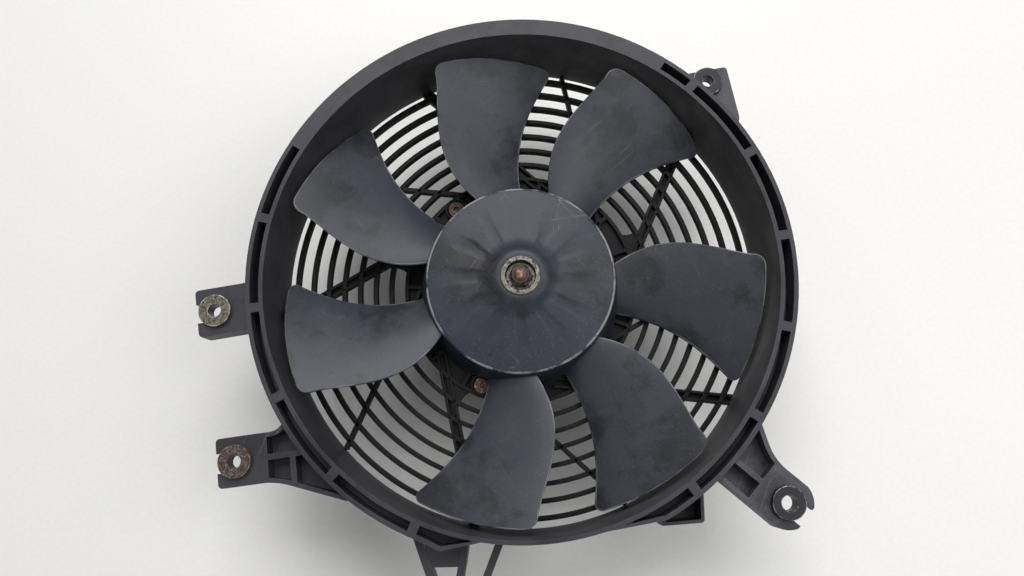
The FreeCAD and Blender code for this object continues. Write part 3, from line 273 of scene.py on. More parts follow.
class Wiring:
    """Adds and joins nodes in one tree, whose patterns lie on its place."""

    def __init__(self, tree, place=None):
        self.tree = tree
        self.place = place

    def add(self, kind, **settings):
        node = self.tree.nodes.new(kind)
        for key, value in settings.items():
            setattr(node, key, value)
        return node

    def feed(self, socket, source):
        """Link a socket to another or give it a value; a colour may come without its alpha."""
        if isinstance(source, bpy.types.NodeSocket):
            self.tree.links.new(source, socket)
        elif socket.type == "RGBA":
            socket.default_value = (*source[:3], 1.0)
        else:
            socket.default_value = source

    def fed(self, kind, sources, output=0, **settings):
        """A node with its named or numbered inputs fed, and one of its outputs."""
        node = self.add(kind, **settings)
        for key, source in sources.items():
            self.feed(node.inputs[key], source)
        return node.outputs[output]

    def math(self, operation, first, second=0.0, third=0.0):
        return self.fed("ShaderNodeMath", {0: first, 1: second, 2: third}, operation=operation)

    def times(self, first, second, plus=0.0):
        return self.math("MULTIPLY_ADD", first, second, plus)

    def measure(self, operation, first, second=(0.0, 0.0, 0.0)):
        """The number that one or two vectors give."""
        return self.fed("ShaderNodeVectorMath", {0: first, 1: second}, output="Value",
                        operation=operation)

    def ramp(self, value, low, high):
        """0 below low, 1 above high, and smooth between."""
        return self.fed("ShaderNodeMapRange", {0: value, 1: low, 2: high},
                        interpolation_type="SMOOTHSTEP")

    def noise(self, scale, detail=3.0, roughness=0.55, place=None):
        return self.fed("ShaderNodeTexNoise", {
            "Vector": self.place if place is None else place, "Scale": scale,
            "Detail": detail, "Roughness": roughness})

    def blend(self, share, first, second):
        return self.fed("ShaderNodeMix", {0: share, 6: first, 7: second}, output=2,
                        data_type="RGBA")


def new_tree(kind, name, inputs, outputs):
    """An empty tree; an input is named with its default or, having none, its socket's kind."""
    tree = bpy.data.node_groups.new(name, kind)
    for label, default in inputs.items():
        bare = isinstance(default, str)
        socket = tree.interface.new_socket(
            label, in_out="INPUT", socket_type=default if bare else SOCKETS[type(default)])
        if not bare:
            socket.default_value = default
    for label, socket_kind in outputs.items():
        tree.interface.new_socket(label, in_out="OUTPUT", socket_type=socket_kind)
    wiring = Wiring(tree)
    return wiring, wiring.add("NodeGroupInput").outputs, wiring.add("NodeGroupOutput").inputs


def effect_tree(name, inputs, outputs):
    """A shader group whose patterns lie on the vector that it is given."""
    wiring, given, out = new_tree("ShaderNodeTree", name, {"Vector": VECTOR, **inputs}, outputs)
    wiring.place = given["Vector"]
    return wiring, given, out


def build_dust_group():
    """Dry dust in soft patches and fine specks over dark stains, with more dust on the ring's
    throat, heaviest on its lit side as painted light.
    """
    wiring, given, out = effect_tree("Dust film", {
        "Base": GREY, "Dust": GREY, "Dark": GREY, "Amount": 0.3, "Stain": 0.3, "Patches": 30.0,
        "Specks": 900.0}, {"Colour": COLOUR, "Mask": FLOAT})
    patches = wiring.ramp(wiring.noise(given["Patches"], 5.0), 0.38, 0.75)
    specks = wiring.ramp(wiring.noise(given["Specks"], 2.0), 0.58, 0.72)
    # Partly painted light: extra dust on the throat, heaviest on the side where light falls
    dust_and_painted_light = wiring.add("ShaderNodeAttribute", attribute_name=DUST_AND_LIGHT).outputs["Fac"]
    dust_and_painted_light = wiring.times(dust_and_painted_light, wiring.times(patches, 0.22, 0.10))
    mask = wiring.times(wiring.times(patches, 0.6, specks), given["Amount"], dust_and_painted_light)
    wide = wiring.times(given["Patches"], 0.8)
    stains = wiring.times(wiring.ramp(wiring.noise(wide, 4.0, 0.6), 0.50, 0.61), given["Stain"])
    wiring.feed(out["Mask"], mask)
    wiring.feed(out["Colour"], wiring.blend(
        mask, wiring.blend(stains, given["Base"], given["Dark"]), given["Dust"]))


def build_wear_group():
    """Rubbed edges: the edge faces, broken up by noise."""
    wiring, given, out = effect_tree("Rubbed edges", {"Amount": 0.6, "Scale": 120.0},
                                     {"Mask": FLOAT})
    edge = wiring.add("ShaderNodeAttribute", attribute_name=WORN).outputs["Fac"]
    broken = wiring.ramp(wiring.noise(given["Scale"], 5.0, 0.7), 0.40, 0.62)
    wiring.feed(out["Mask"], wiring.times(wiring.times(edge, broken), given["Amount"]))


def build_scratch_group():
    """Thin scratches along one direction, gathered in a few places."""
    wiring, given, out = effect_tree("Fine scratches", {
        "Turn": 0.0, "Scale": 60.0, "Width": 0.008, "Spread": 0.0, "Amount": 0.5},
        {"Mask": FLOAT})
    turned = wiring.fed("ShaderNodeVectorRotate", {"Vector": wiring.place, "Angle": given["Turn"]},
                        rotation_type="Z_AXIS")
    drawn_out = wiring.fed("ShaderNodeVectorMath", {0: turned, 1: (1.0, 0.02, 1.0)},
                           operation="MULTIPLY")
    wave = wiring.noise(given["Scale"], 0.0, place=drawn_out)
    away = wiring.math("ABSOLUTE", wiring.math("SUBTRACT", wave, 0.5))
    line = wiring.math("SUBTRACT", 1.0, wiring.ramp(away, 0.0, given["Width"]))
    gathered = wiring.ramp(wiring.noise(wiring.times(given["Scale"], 0.6), 2.0), 0.52, 0.66)
    gathered = wiring.math("MAXIMUM", gathered, given["Spread"])
    wiring.feed(out["Mask"], wiring.times(wiring.times(line, gathered), given["Amount"]))


def build_grain_group():
    """Height of a moulded skin: fine grain with a slow waviness under it."""
    wiring, given, out = effect_tree("Moulded grain", {
        "Fine": 1600.0, "Slow": 45.0, "Waviness": 0.6}, {"Height": FLOAT})
    fine = wiring.noise(given["Fine"], 2.0)
    slow = wiring.noise(given["Slow"], 2.0)
    wiring.feed(out["Height"], wiring.times(slow, given["Waviness"], fine))


def build_rust_group():
    """Rust creeping over plated or bare steel."""
    wiring, given, out = effect_tree("Rust creep", {
        "Metal": GREY, "Rust": GREY, "Pits": GREY, "Amount": 0.5, "Scale": 180.0},
        {"Colour": COLOUR, "Roughness": FLOAT, "Metallic": FLOAT, "Height": FLOAT})
    patch = wiring.noise(given["Scale"], 6.0, 0.65)
    pits = wiring.noise(wiring.times(given["Scale"], 7.0), 3.0)
    mask = wiring.ramp(wiring.times(given["Amount"], 0.5, patch), 0.62, 0.78)
    dark = wiring.blend(wiring.ramp(pits, 0.4, 0.7), given["Rust"], given["Pits"])
    wiring.feed(out["Colour"], wiring.blend(mask, given["Metal"], dark))
    wiring.feed(out["Roughness"], wiring.times(mask, 0.42, 0.38))
    wiring.feed(out["Metallic"], wiring.times(mask, -0.85, 0.9))
    wiring.feed(out["Height"], wiring.times(pits, mask, patch))


def build_streak_group():
    """Radial sink marks on the hub's face: a mask of twelve streaks, used for their dips and for
    painted shade along them.
    """
    wiring, given, out = effect_tree("Sink streaks", {
        "Count": 12.0, "Inner": 0.018, "Outer": 0.056}, {"Mask": FLOAT})
    parts = wiring.add("ShaderNodeSeparateXYZ")
    wiring.feed(parts.inputs[0], wiring.place)
    x, y = parts.outputs["X"], parts.outputs["Y"]
    radius = wiring.measure("LENGTH", wiring.fed("ShaderNodeCombineXYZ", {"X": x, "Y": y}))
    wobble = wiring.times(wiring.noise(25.0, 2.0), 0.4, -0.2)
    angle = wiring.math("ADD", wiring.math("ARCTAN2", y, x), wobble)
    crest = wiring.math("COSINE", wiring.times(angle, given["Count"]))
    start = wiring.ramp(radius, given["Inner"], wiring.times(given["Inner"], 1.6))
    uneven = wiring.times(wiring.ramp(wiring.noise(28.0, 1.0), 0.34, 0.60), 0.55, 0.45)
    end = wiring.ramp(radius, wiring.times(given["Outer"], 0.6), given["Outer"])
    streak = wiring.times(wiring.ramp(crest, -0.3, 1.0), wiring.times(start, uneven))
    wiring.feed(out["Mask"], wiring.times(streak, wiring.math("SUBTRACT", 1.0, end)))


def background_rays(wiring):
    """1 for the camera's rays and for those that metal and glass send on, else 0."""
    rays = wiring.add("ShaderNodeLightPath").outputs
    seen = wiring.math("MAXIMUM", rays["Is Camera Ray"], rays["Is Glossy Ray"])
    return wiring.math("MAXIMUM", seen, rays["Is Transmission Ray"])


# Finishes


class Finish(Wiring):
    """A material being built on the object's own coordinates."""

    def __init__(self, name, roughness=0.5, metallic=0.0):
        self.material = bpy.data.materials.new(name)
        self.material.use_nodes = True
        super().__init__(self.material.node_tree)
        self.place = self.add("ShaderNodeTexCoord").outputs["Object"]
        self.set("Roughness", roughness)
        self.set("Metallic", metallic)

    def set(self, socket, source):
        self.feed(self.tree.nodes["Principled BSDF"].inputs[socket], source)

    def effect(self, name, **settings):
        """The outputs of a shared group placed in the finish."""
        node = self.add("ShaderNodeGroup", node_tree=bpy.data.node_groups[name])
        for key, source in {"Vector": self.place, **settings}.items():
            self.feed(node.inputs[key], source)
        return node.outputs

    def bump(self, height, millimetres):
        self.set("Normal", self.fed(
            "ShaderNodeBump", {"Height": height, "Distance": millimetres * MM, "Strength": 1.0},
            output="Normal"))


def build_plastic(name, tones, base, worn, dust, stain, wear, roughness, scratches=(),
                  sheen=0.27, marks=None):
    """Moulded plastic with dust, rubbed edges, fine scratches, its own marks and a skin."""
    finish = Finish(name, roughness)
    finish.set("Specular IOR Level", sheen)
    rubbed_tone = getattr(tones, worn)
    dusty = finish.effect("Dust film", Base=getattr(tones, base), Dust=tones.dust,
                          Dark=tones.stain, Amount=dust, Stain=stain)
    rubbed = finish.effect("Rubbed edges", Amount=wear, Scale=40.0)
    tone = finish.blend(rubbed["Mask"], dusty["Colour"], rubbed_tone)
    lines = 0.0
    for turn, scale, amount in scratches:
        more = finish.effect("Fine scratches", Turn=turn, Scale=scale, Amount=amount)
        lines = finish.math("MAXIMUM", lines, more["Mask"])
    tone = finish.blend(lines, tone, rubbed_tone)
    height = finish.effect("Moulded grain")["Height"]
    if marks:
        tone, height = marks(finish, tones, tone, height)
    finish.set("Base Color", tone)
    finish.set("Roughness", finish.times(dusty["Mask"], 0.5, roughness))
    finish.bump(height, 0.06)


def mark_hub(finish, tones, tone, height):
    """Radial sink marks on the hub's face, bumped and also painted darker as shade, and a scuffed
    place towards its upper right.
    """
    streaks = finish.effect("Sink streaks")["Mask"]
    # Painted shade: the colour darkens along the sink marks, on top of their bump
    tone = finish.blend(finish.times(streaks, 0.45), tone, scaled(tones.hub, 0.3))
    away = finish.measure("DISTANCE", finish.place, (0.034, 0.042, -0.02))
    scuffed = finish.ramp(away, 0.022, 0.006)
    for turn, scale in ((1.3, 110.0), (0.2, 170.0)):
        lines = finish.effect("Fine scratches", Turn=turn, Scale=scale, Width=0.022,
                              Spread=0.12, Amount=0.55)
        tone = finish.blend(finish.times(lines["Mask"], scuffed), tone, tones.blade_worn)
    return tone, finish.times(streaks, -9.0, height)


def build_steel(name, tones, metal, rust, amount, scale, bump, rubbed):
    """Steel with rust creeping over it and brighter rubbed edges."""
    finish = Finish(name)
    creep = finish.effect("Rust creep", Metal=getattr(tones, metal), Rust=getattr(tones, rust),
                          Pits=tones.pit, Amount=amount, Scale=scale)
    edges = finish.effect("Rubbed edges", Amount=rubbed, Scale=400.0)
    finish.set("Base Color", finish.blend(edges["Mask"], creep["Colour"], tones.rubbed))
    finish.set("Roughness", creep["Roughness"])
    finish.set("Metallic", creep["Metallic"])
    finish.bump(creep["Height"], bump)


def build_plain(name, first, second, scale, roughness, metallic, bump):
    """A two-tone mottled finish for the motor's hidden pieces."""
    finish = Finish(name, roughness, metallic)
    mottle = finish.noise(scale, 4.0)
    finish.set("Base Color", finish.blend(finish.ramp(mottle, 0.35, 0.7), first, second))
    finish.bump(mottle, bump)


# Scratches are rows of turn, scale and amount
PLASTICS = {
    "Shroud plastic": dict(base="shroud", worn="shroud_worn", dust=0.06, stain=0.5, wear=0.7,
                           roughness=0.44, scratches=((0.4, 45.0, 0.2),)),
    # Painted light: the right lugs get a paler base and more dust than the shroud, standing in for
    # the light on that side.
    "Right lug plastic": dict(base="lug", worn="shroud_worn", dust=0.16, stain=0.7, wear=0.6,
                              roughness=0.44, scratches=((0.4, 45.0, 0.2),)),
    "Guard plastic": dict(base="guard", worn="shroud_worn", dust=0.01, stain=0.3, wear=0.05,
                          roughness=0.55, sheen=0.1),
    "Blade plastic": dict(base="blade", worn="blade_worn", dust=0.09, stain=0.55, wear=0.6,
                          roughness=0.36, scratches=((0.9, 50.0, 0.10), (-0.5, 80.0, 0.08))),
    "Hub plastic": dict(base="hub", worn="blade_worn", dust=0.10, stain=0.7, wear=1.8,
                        roughness=0.36, scratches=((0.7, 60.0, 0.3), (-0.8, 90.0, 0.22)),
                        sheen=0.24, marks=mark_hub),
}
# Metal, rust, amount of rust, its scale, bump in millimetres, wear of the edges
STEELS = {
    "Zinc plate": ("zinc", "rust", 0.27, 800.0, 0.3, 0.9),
    "Rusty steel": ("rusty", "rust", 0.36, 900.0, 0.6, 0.3),
    "Black steel": ("blackened", "rust", 0.0, 260.0, 0.06, 0.35),
    "Screw steel": ("steel", "screw_rust", 0.6, 420.0, 0.1, 0.3),
    "Insert steel": ("insert", "rust", 0.2, 500.0, 0.3, 0.12),
    "Nut steel": ("nut", "rust", 0.35, 450.0, 0.1, 0.15),
    "Shaft steel": ("shaft", "rust", 0.40, 500.0, 0.12, 0.3),
    "Motor paint": ("paint", "rust", 0.0, 90.0, 0.05, 0.1),
}
# Two tones, scale of the mottling, roughness, metallic, bump in millimetres
PLAIN_FINISHES = {
    "Sintered bronze": ((0.42, 0.28, 0.13), (0.30, 0.19, 0.09), 900.0, 0.5, 0.8, 0.03),
    "Ferrite": ((0.055, 0.055, 0.06), (0.09, 0.09, 0.09), 300.0, 0.6, 0.0, 0.05),
    "Insulating board": ((0.24, 0.11, 0.045), (0.32, 0.16, 0.07), 500.0, 0.55, 0.0, 0.03),
    "Carbon": ((0.035, 0.035, 0.037), (0.06, 0.06, 0.06), 900.0, 0.5, 0.0, 0.02),
    "Spring steel": ((0.5, 0.5, 0.49), (0.38, 0.37, 0.36), 400.0, 0.3, 1.0, 0.01),
    "Laminated steel": ((0.36, 0.36, 0.37), (0.22, 0.21, 0.20), 700.0, 0.45, 0.9, 0.04),
    "Copper": ((0.62, 0.28, 0.13), (0.48, 0.20, 0.09), 500.0, 0.35, 1.0, 0.03),
    "Gland rubber": ((0.020, 0.020, 0.021), (0.045, 0.044, 0.043), 250.0, 0.7, 0.0, 0.04),
}


# Meshes


def linked(name, data):
    """An object of the data, linked to the scene."""
    made = bpy.data.objects.new(name, data)
    bpy.context.scene.collection.objects.link(made)
    return made


def modified(mesh, kind, values=None, **settings):
    """The plain mesh that a modifier makes of a mesh; values go to its tree's inputs."""
    carrier = linked("carrier", mesh)
    modifier = carrier.modifiers.new("step", kind)
    for key, value in settings.items():
        setattr(modifier, key, value)
    for key, value in (values or {}).items():
        modifier[key] = value
    graph = bpy.context.evaluated_depsgraph_get()
    made = bpy.data.meshes.new_from_object(carrier.evaluated_get(graph))
    carrier.modifiers.remove(modifier)
    bpy.data.objects.remove(carrier)
    bpy.data.meshes.remove(mesh)
    return made


def give_piece(name, mesh, body, finish, stands_for=(), sharp=40.0):
    """Links a finished mesh as a piece that rides on a body."""
    mesh.materials.clear()
    mesh.materials.append(bpy.data.materials[finish])
    mesh.shade_smooth()
    mesh.set_sharp_from_angle(angle=math.radians(sharp))
    shaded = modified(mesh, "WEIGHTED_NORMAL", keep_sharp=True, weight=100)
    shaded.name = name
    piece = linked(name, shaded)
    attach(piece, body)
    if stands_for:
        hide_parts(*stands_for)


def mesh_from(form, name="form"):
    mesh = bpy.data.meshes.new(name)
    form.to_mesh(mesh)
    form.free()
    return mesh


def rotated(form, angle, axis):
    bmesh.ops.rotate(form, cent=(0, 0, 0), matrix=Matrix.Rotation(angle, 3, axis),
                     verts=form.verts)
    return form


def round_edges(form, width, segments=2, over=35.0):
    """Rounds the sharp edges and marks their new faces, where wear shows first."""
    worn = form.faces.layers.float.get(WORN) or form.faces.layers.float.new(WORN)
    limit = math.radians(over)
    sharp = [edge for edge in form.edges
             if len(edge.link_faces) == 2 and edge.calc_face_angle(0.0) > limit]
    made = bmesh.ops.bevel(form, geom=sharp, offset=width, offset_type="OFFSET",
                           segments=segments, profile=0.5, affect="EDGES", clamp_overlap=True)
    for face in made["faces"]:
        face[worn] = 1.0


def rounded_profile(corners, steps=4, edge_limit=3.1 * MM):
    """A closed outline through (radius, height, rounding) corners; small arcs count as edges."""
    points = []
    count = len(corners)
    for n in range(count):
        here = Vector(corners[n][:2])
        rounding = corners[n][2]
        if rounding <= 0.0:
            points.append((here, False))
            continue
        back = (Vector(corners[n - 1][:2]) - here).normalized()
        ahead = (Vector(corners[(n + 1) % count][:2]) - here).normalized()
        half = back.angle(ahead) / 2
        reach = rounding / math.tan(half)
        centre = here + (back + ahead).normalized() * (rounding / math.sin(half))
        first = here + back * reach - centre
        last = here + ahead * reach - centre
        sweep = first.angle_signed(last)
        parts = steps if rounding < edge_limit else 2 * steps
        for step in range(parts + 1):
            arm = first.copy()
            arm.rotate(Matrix.Rotation(-sweep * step / parts, 2))
            rubbed = step in (parts // 2 - 1, parts // 2) if rounding > MM else step < parts
            points.append((centre + arm, rubbed and rounding < edge_limit))
    return points


def turned_form(corners, steps=96, middle=(0.0, 0.0)):
    """A solid of revolution from its outline, with its rounded corners marked."""
    outline = rounded_profile(corners)
    form = bmesh.new()
    worn = form.faces.layers.float.new(WORN)
    rings = []
    for step in range(steps):
        angle = 2 * math.pi * step / steps
        rings.append([form.verts.new((middle[0] + point.x * math.cos(angle),
                                      middle[1] + point.x * math.sin(angle), point.y))
                      for point, _ in outline])
    count = len(outline)
    for step in range(steps):
        near, far = rings[step], rings[(step + 1) % steps]
        for n in range(count):
            face = form.faces.new((near[n], near[(n + 1) % count], far[(n + 1) % count], far[n]))
            face[worn] = 1.0 if outline[n][1] else 0.0
    bmesh.ops.remove_doubles(form, verts=form.verts, dist=1e-7)
    bmesh.ops.recalc_face_normals(form, faces=form.faces)
    return form


def slab_form(outline, low, high, edge=0.0):
    """An upright slab under a flat outline of (x, y) points, its edges rounded."""
    form = bmesh.new()
    form.faces.layers.float.new(WORN)
    face = form.faces.new([form.verts.new((x, y, low)) for x, y in outline])
    for item in bmesh.ops.extrude_face_region(form, geom=[face])["geom"]:
        if isinstance(item, bmesh.types.BMVert):
            item.co.z = high
    bmesh.ops.recalc_face_normals(form, faces=form.faces)
    if edge:
        round_edges(form, edge)
    return form


def box_outline(left, low, right, high):
    return [(left, low), (right, low), (right, high), (left, high)]


def joined(forms):
    """Several forms as one."""
    together = bmesh.new()
    together.faces.layers.float.new(WORN)
    for form in forms:
        together.from_mesh(mesh_from(form))
    return together


def rounded_copy(node, width):
    """A copy of a solid's mesh with its flats joined and its edges rounded."""
    form = bmesh.new()
    form.from_mesh(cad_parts[node].data)
    bmesh.ops.remove_doubles(form, verts=form.verts, dist=2e-6)
    bmesh.ops.dissolve_limit(form, angle_limit=math.radians(0.4), verts=form.verts,
                             edges=form.edges)
    form.faces.layers.float.new(WORN)
    round_edges(form, width)
    return mesh_from(form)


def mark_dust_and_painted_light(mesh, reach=160.0 * MM, side=20.0 * DEGREE):
    """Marks the faces of the ring's throat for more dust, most towards one side: partly dust,
    partly painted light on the side where light falls.
    """
    marks = mesh.attributes.new(DUST_AND_LIGHT, "FLOAT", "FACE")
    for face, mark in zip(mesh.polygons, marks.data):
        outward = face.center.xy
        looks_in = -face.normal.xy.dot(outward.normalized())
        # Painted light: the side where light falls gets the most
        lit_side = (1 + math.cos(math.atan2(outward.y, outward.x) - side)) / 2
        mark.value = max(0.0, looks_in) * lit_side if outward.length < reach else 0.0


# Geometry nodes


def geometry_tree(name, inputs):
    """An empty geometry tree with a mesh coming in, the named inputs and a material."""
    return new_tree("GeometryNodeTree", name, {"Geometry": GEOMETRY, **inputs,
                                               "Material": MATERIAL}, {"Geometry": GEOMETRY})


def copies(wiring, count, instance, **placing):
    """Copies of a geometry on as many points, each scaled or turned by the point's number."""
    points = wiring.fed("GeometryNodePoints", {"Count": count})
    return wiring.fed("GeometryNodeInstanceOnPoints", {
        "Points": points, "Instance": instance, **placing})


def end_tree(wiring, given, out, instances):
    """The tree's end: instances made real, with their material."""
    real = wiring.fed("GeometryNodeRealizeInstances", {"Geometry": instances})
    wiring.feed(out["Geometry"], wiring.fed(
        "GeometryNodeSetMaterial", {"Geometry": real, "Material": given["Material"]}))


def build_round_row_tree():
    """Copies of the incoming mesh at even turns about the axis."""
    wiring, given, out = geometry_tree("Round the axis", {
        "Count": 8, "First turn": 0.0, "Step": 0.5})
    index = wiring.add("GeometryNodeInputIndex").outputs[0]
    turn = wiring.times(index, given["Step"], given["First turn"])
    end_tree(wiring, given, out, copies(
        wiring, given["Count"], given["Geometry"],
        Rotation=wiring.fed("ShaderNodeCombineXYZ", {"Z": turn})))


def build_blade_row_tree(count):
    """Copies of the incoming blade at uneven turns, one input for each."""
    labels = [f"Turn {n + 1}" for n in range(count)]
    wiring, given, out = geometry_tree("Blade row", dict.fromkeys(labels, 0.0))
    pick = wiring.add("GeometryNodeIndexSwitch", data_type="FLOAT")
    while len(pick.index_switch_items) < count:
        pick.index_switch_items.new()
    wiring.feed(pick.inputs[0], wiring.add("GeometryNodeInputIndex").outputs[0])
    for n, label in enumerate(labels):
        wiring.feed(pick.inputs[n + 1], given[label])
    end_tree(wiring, given, out, copies(
        wiring, count, given["Geometry"],
        Rotation=wiring.fed("ShaderNodeCombineXYZ", {"Z": pick.outputs[0]})))


def build_ring_row_tree():
    """Concentric rings swept from a rounded bar section."""
    wiring, given, out = geometry_tree("Concentric rings", {
        "Rings": 7, "First radius": 0.08, "Pitch": 0.01, "Bar width": 0.003, "Bar height": 0.006,
        "Rounding": 0.0006, "Middle height": 0.0, "Steps": 160})
    index = wiring.add("GeometryNodeInputIndex").outputs[0]
    radius = wiring.times(index, given["Pitch"], given["First radius"])
    circle = wiring.fed("GeometryNodeCurvePrimitiveCircle", {"Resolution": given["Steps"],
                                                             "Radius": 1.0})
    circles = copies(wiring, given["Rings"], circle, Scale=wiring.fed(
        "ShaderNodeCombineXYZ", {"X": radius, "Y": radius, "Z": radius}))
    curves = wiring.fed("GeometryNodeRealizeInstances", {"Geometry": circles})
    curves = wiring.fed("GeometryNodeSetCurveNormal", {"Curve": curves}, mode="Z_UP")
    curves = wiring.fed("GeometryNodeSetCurveRadius", {"Curve": curves, "Radius": 1.0})
    bar = wiring.fed("GeometryNodeCurvePrimitiveQuadrilateral", {
        "Width": given["Bar width"], "Height": given["Bar height"]})
    section = wiring.fed("GeometryNodeFilletCurve", {
        "Curve": bar, "Radius": given["Rounding"], "Count": 2}, mode="POLY")
    swept = wiring.fed("GeometryNodeCurveToMesh", {"Curve": curves, "Profile Curve": section})
    lift = wiring.fed("ShaderNodeCombineXYZ", {"Z": given["Middle height"]})
    end_tree(wiring, given, out, wiring.fed(
        "GeometryNodeTransform", {"Geometry": swept, "Translation": lift}))


def grown(name, base, finish, values):
    """The plain mesh that a tree makes from a base mesh, a finish and its inputs' values."""
    tree = bpy.data.node_groups[name]
    sockets = {item.name: item.identifier for item in tree.interface.items_tree
               if item.item_type == "SOCKET" and item.in_out == "INPUT"}
    values = {"Material": bpy.data.materials[finish], **values}
    return modified(base, "NODES", {sockets[label]: value for label, value in values.items()},
                    node_group=tree)


def round_the_axis(form, count, first_turn, finish):
    """The form repeated evenly right round the axis."""
    return grown("Round the axis", mesh_from(form), finish, {
        "Count": count, "First turn": first_turn, "Step": 2 * math.pi / count})


# The blade


def through(stations, amounts, radius):
    """The smooth curve through the stations' amounts, read at one radius."""
    total = 0.0
    for n, amount in enumerate(amounts):
        share = amount
        for m, station in enumerate(stations):
            if m != n:
                share *= (radius - station) / (stations[n] - station)
        total += share
    return total


def build_blade_form(sizes, chord_steps=28, long_steps=26, corner_steps=10, rim_steps=4):
    """One blade, cambered and pitched, with rounded tip corners and a soft rim."""
    start = sizes.root - sizes.sunk
    knee = sizes.tip - 1.6 * sizes.high_corner

    def surface(radius, angle, drop):
        """A point on the blade's front, or below it by the drop."""
        low = through(sizes.stations, sizes.low_angles, radius)
        high = through(sizes.stations, sizes.high_angles, radius)
        share = (angle - low) / (high - low)
        outward = (radius - sizes.root) / (sizes.tip - sizes.root)
        low_depth, high_depth = (at_root + outward * (at_tip - at_root)
                                 for at_root, at_tip in (sizes.low_depths, sizes.high_depths))
        height = low_depth + share * (high_depth - low_depth)
        height += sizes.camber * 4 * share * (1 - share) - drop
        return Vector((radius * math.cos(angle), radius * math.sin(angle), height))

    def side_angle(radius, angles, corner, side, inset):
        """The angle of a long edge, or of its tip corner, moved in by the inset."""
        centre = sizes.tip - corner
        edge_end = math.sqrt(centre ** 2 - corner ** 2)
        angle = through(sizes.stations, angles, min(radius, edge_end))
        if radius < edge_end:
            return angle + side * inset / radius
        cosine = (radius ** 2 + centre ** 2 - (corner - inset) ** 2) / (2 * radius * centre)
        return angle + side * (math.asin(corner / centre) - math.acos(min(1.0, cosine)))

    def grid(inset, drop):
        """Rows of points from the root to the tip, each from the low edge to the high one."""
        radii = [start + (knee - start) * n / long_steps for n in range(long_steps)]
        radii += [knee + (sizes.tip - inset - knee) * math.sin(math.pi / 2 * n / corner_steps)
                  for n in range(corner_steps + 1)]
        rows = []
        for radius in radii:
            low = side_angle(radius, sizes.low_angles, sizes.low_corner, 1, inset)
            high = side_angle(radius, sizes.high_angles, sizes.high_corner, -1, inset)
            rows.append([surface(radius, low + (high - low) * n / chord_steps, drop)
                         for n in range(chord_steps + 1)])
        return rows

    def rim(rows):
        """The points round a grid, starting at the root's low corner."""
        return ([row[0] for row in rows] + rows[-1][1:-1]
                + [row[-1] for row in reversed(rows)] + rows[0][-2:0:-1])

    form = bmesh.new()
    worn = form.faces.layers.float.new(WORN)
    edge, thickness = sizes.edge, sizes.thickness
    front, back = ([[form.verts.new(point) for point in row] for row in grid(edge, drop)]
                   for drop in (0.0, thickness))
    for rows in (front, back):
        for near, far in zip(rows, rows[1:]):
            for n in range(chord_steps):
                form.faces.new((near[n], far[n], far[n + 1], near[n + 1]))
    turns_down = [math.pi / 2 * n / rim_steps for n in range(1, rim_steps + 1)]
    places = [(edge * (1 - math.sin(turn)), edge * (1 - math.cos(turn))) for turn in turns_down]
    places += [(inset, thickness - drop) for inset, drop in reversed(places)]
    loops = [rim(front), *([form.verts.new(point) for point in rim(grid(inset, drop))]
                           for inset, drop in places), rim(back)]
    count = len(loops[0])
    for upper, lower in zip(loops, loops[1:]):
        for n in range(count):
            face = form.faces.new((upper[n], upper[(n + 1) % count],
                                   lower[(n + 1) % count], lower[n]))
            face[worn] = 1.0
    bmesh.ops.remove_doubles(form, verts=form.verts, dist=1e-7)
    bmesh.ops.recalc_face_normals(form, faces=form.faces)
    return form


# The rear guard


def guard_arms(sizes, low, high):
    """One wide arm with its trough, one narrow arm and the web between arm and mount."""
    offset, outer, wall = sizes.offset, sizes.mount_outer, sizes.wall

    def arm_end(width):
        return math.sqrt(GUARD_HIGH.x ** 2 - (offset - width / 2) ** 2)

    start = math.sqrt(sizes.mount_inner ** 2 - (offset - sizes.wide / 2) ** 2)
    end = arm_end(sizes.wide)
    near, far = -offset - sizes.wide / 2, -offset + sizes.wide / 2
    side = (sizes.wide - sizes.trough) / 2
    narrow = slab_form(box_outline(
        start, -offset - sizes.narrow / 2, arm_end(sizes.narrow), -offset + sizes.narrow / 2),
        low, high, sizes.edge)

    inward = offset - sizes.web_depth
    second_ring = sizes.first + 2 * sizes.pitch
    foot = Vector((math.sqrt((outer - wall) ** 2 - offset ** 2), -offset))
    point = Vector((math.sqrt(second_ring ** 2 - offset ** 2), -offset))
    last = Vector((math.sqrt(outer ** 2 - inward ** 2) - wall / 2, -inward))
    waist = Vector((last.x - wall, (point.y + last.y) / 2))
    hollow = [(point * (1 - t) + waist * t) * (1 - t) + (waist * (1 - t) + last * t) * t
              for t in (n / 8 for n in range(9))]
    return joined([
        slab_form(box_outline(start, near, end, near + side), low, high, sizes.edge),
        slab_form(box_outline(start, far - side, end, far), low, high, sizes.edge),
        slab_form(box_outline(start, near + side / 2, end, far - side / 2),
                  low, high - sizes.trough_depth),
        rotated(narrow, math.pi / sizes.pairs, "Z"),
        slab_form([tuple(place) for place in (foot, *hollow)], low, low + sizes.web, 0.3 * MM),
    ])


def motor_mount(sizes, low, high):
    """The outer wall, and the channel's floor with its inner wall."""
    inner, outer, wall, edge = sizes.mount_inner, sizes.mount_outer, sizes.wall, sizes.edge
    floor = low + sizes.floor
    return joined([
        turned_form([(outer, high, edge), (outer, low, edge), (outer - wall, low, edge),
                     (outer - wall, high, edge)], steps=128),
        turned_form([(inner, floor, 0.0), (sizes.floor_bore, floor, edge),
                     (sizes.floor_bore, low, edge), (outer - wall, low, 0.0),
                     (outer - wall, floor, 0.0), (inner + wall, floor, 0.0),
                     (inner + wall, high, edge), (inner, high, edge)], steps=128),
    ])


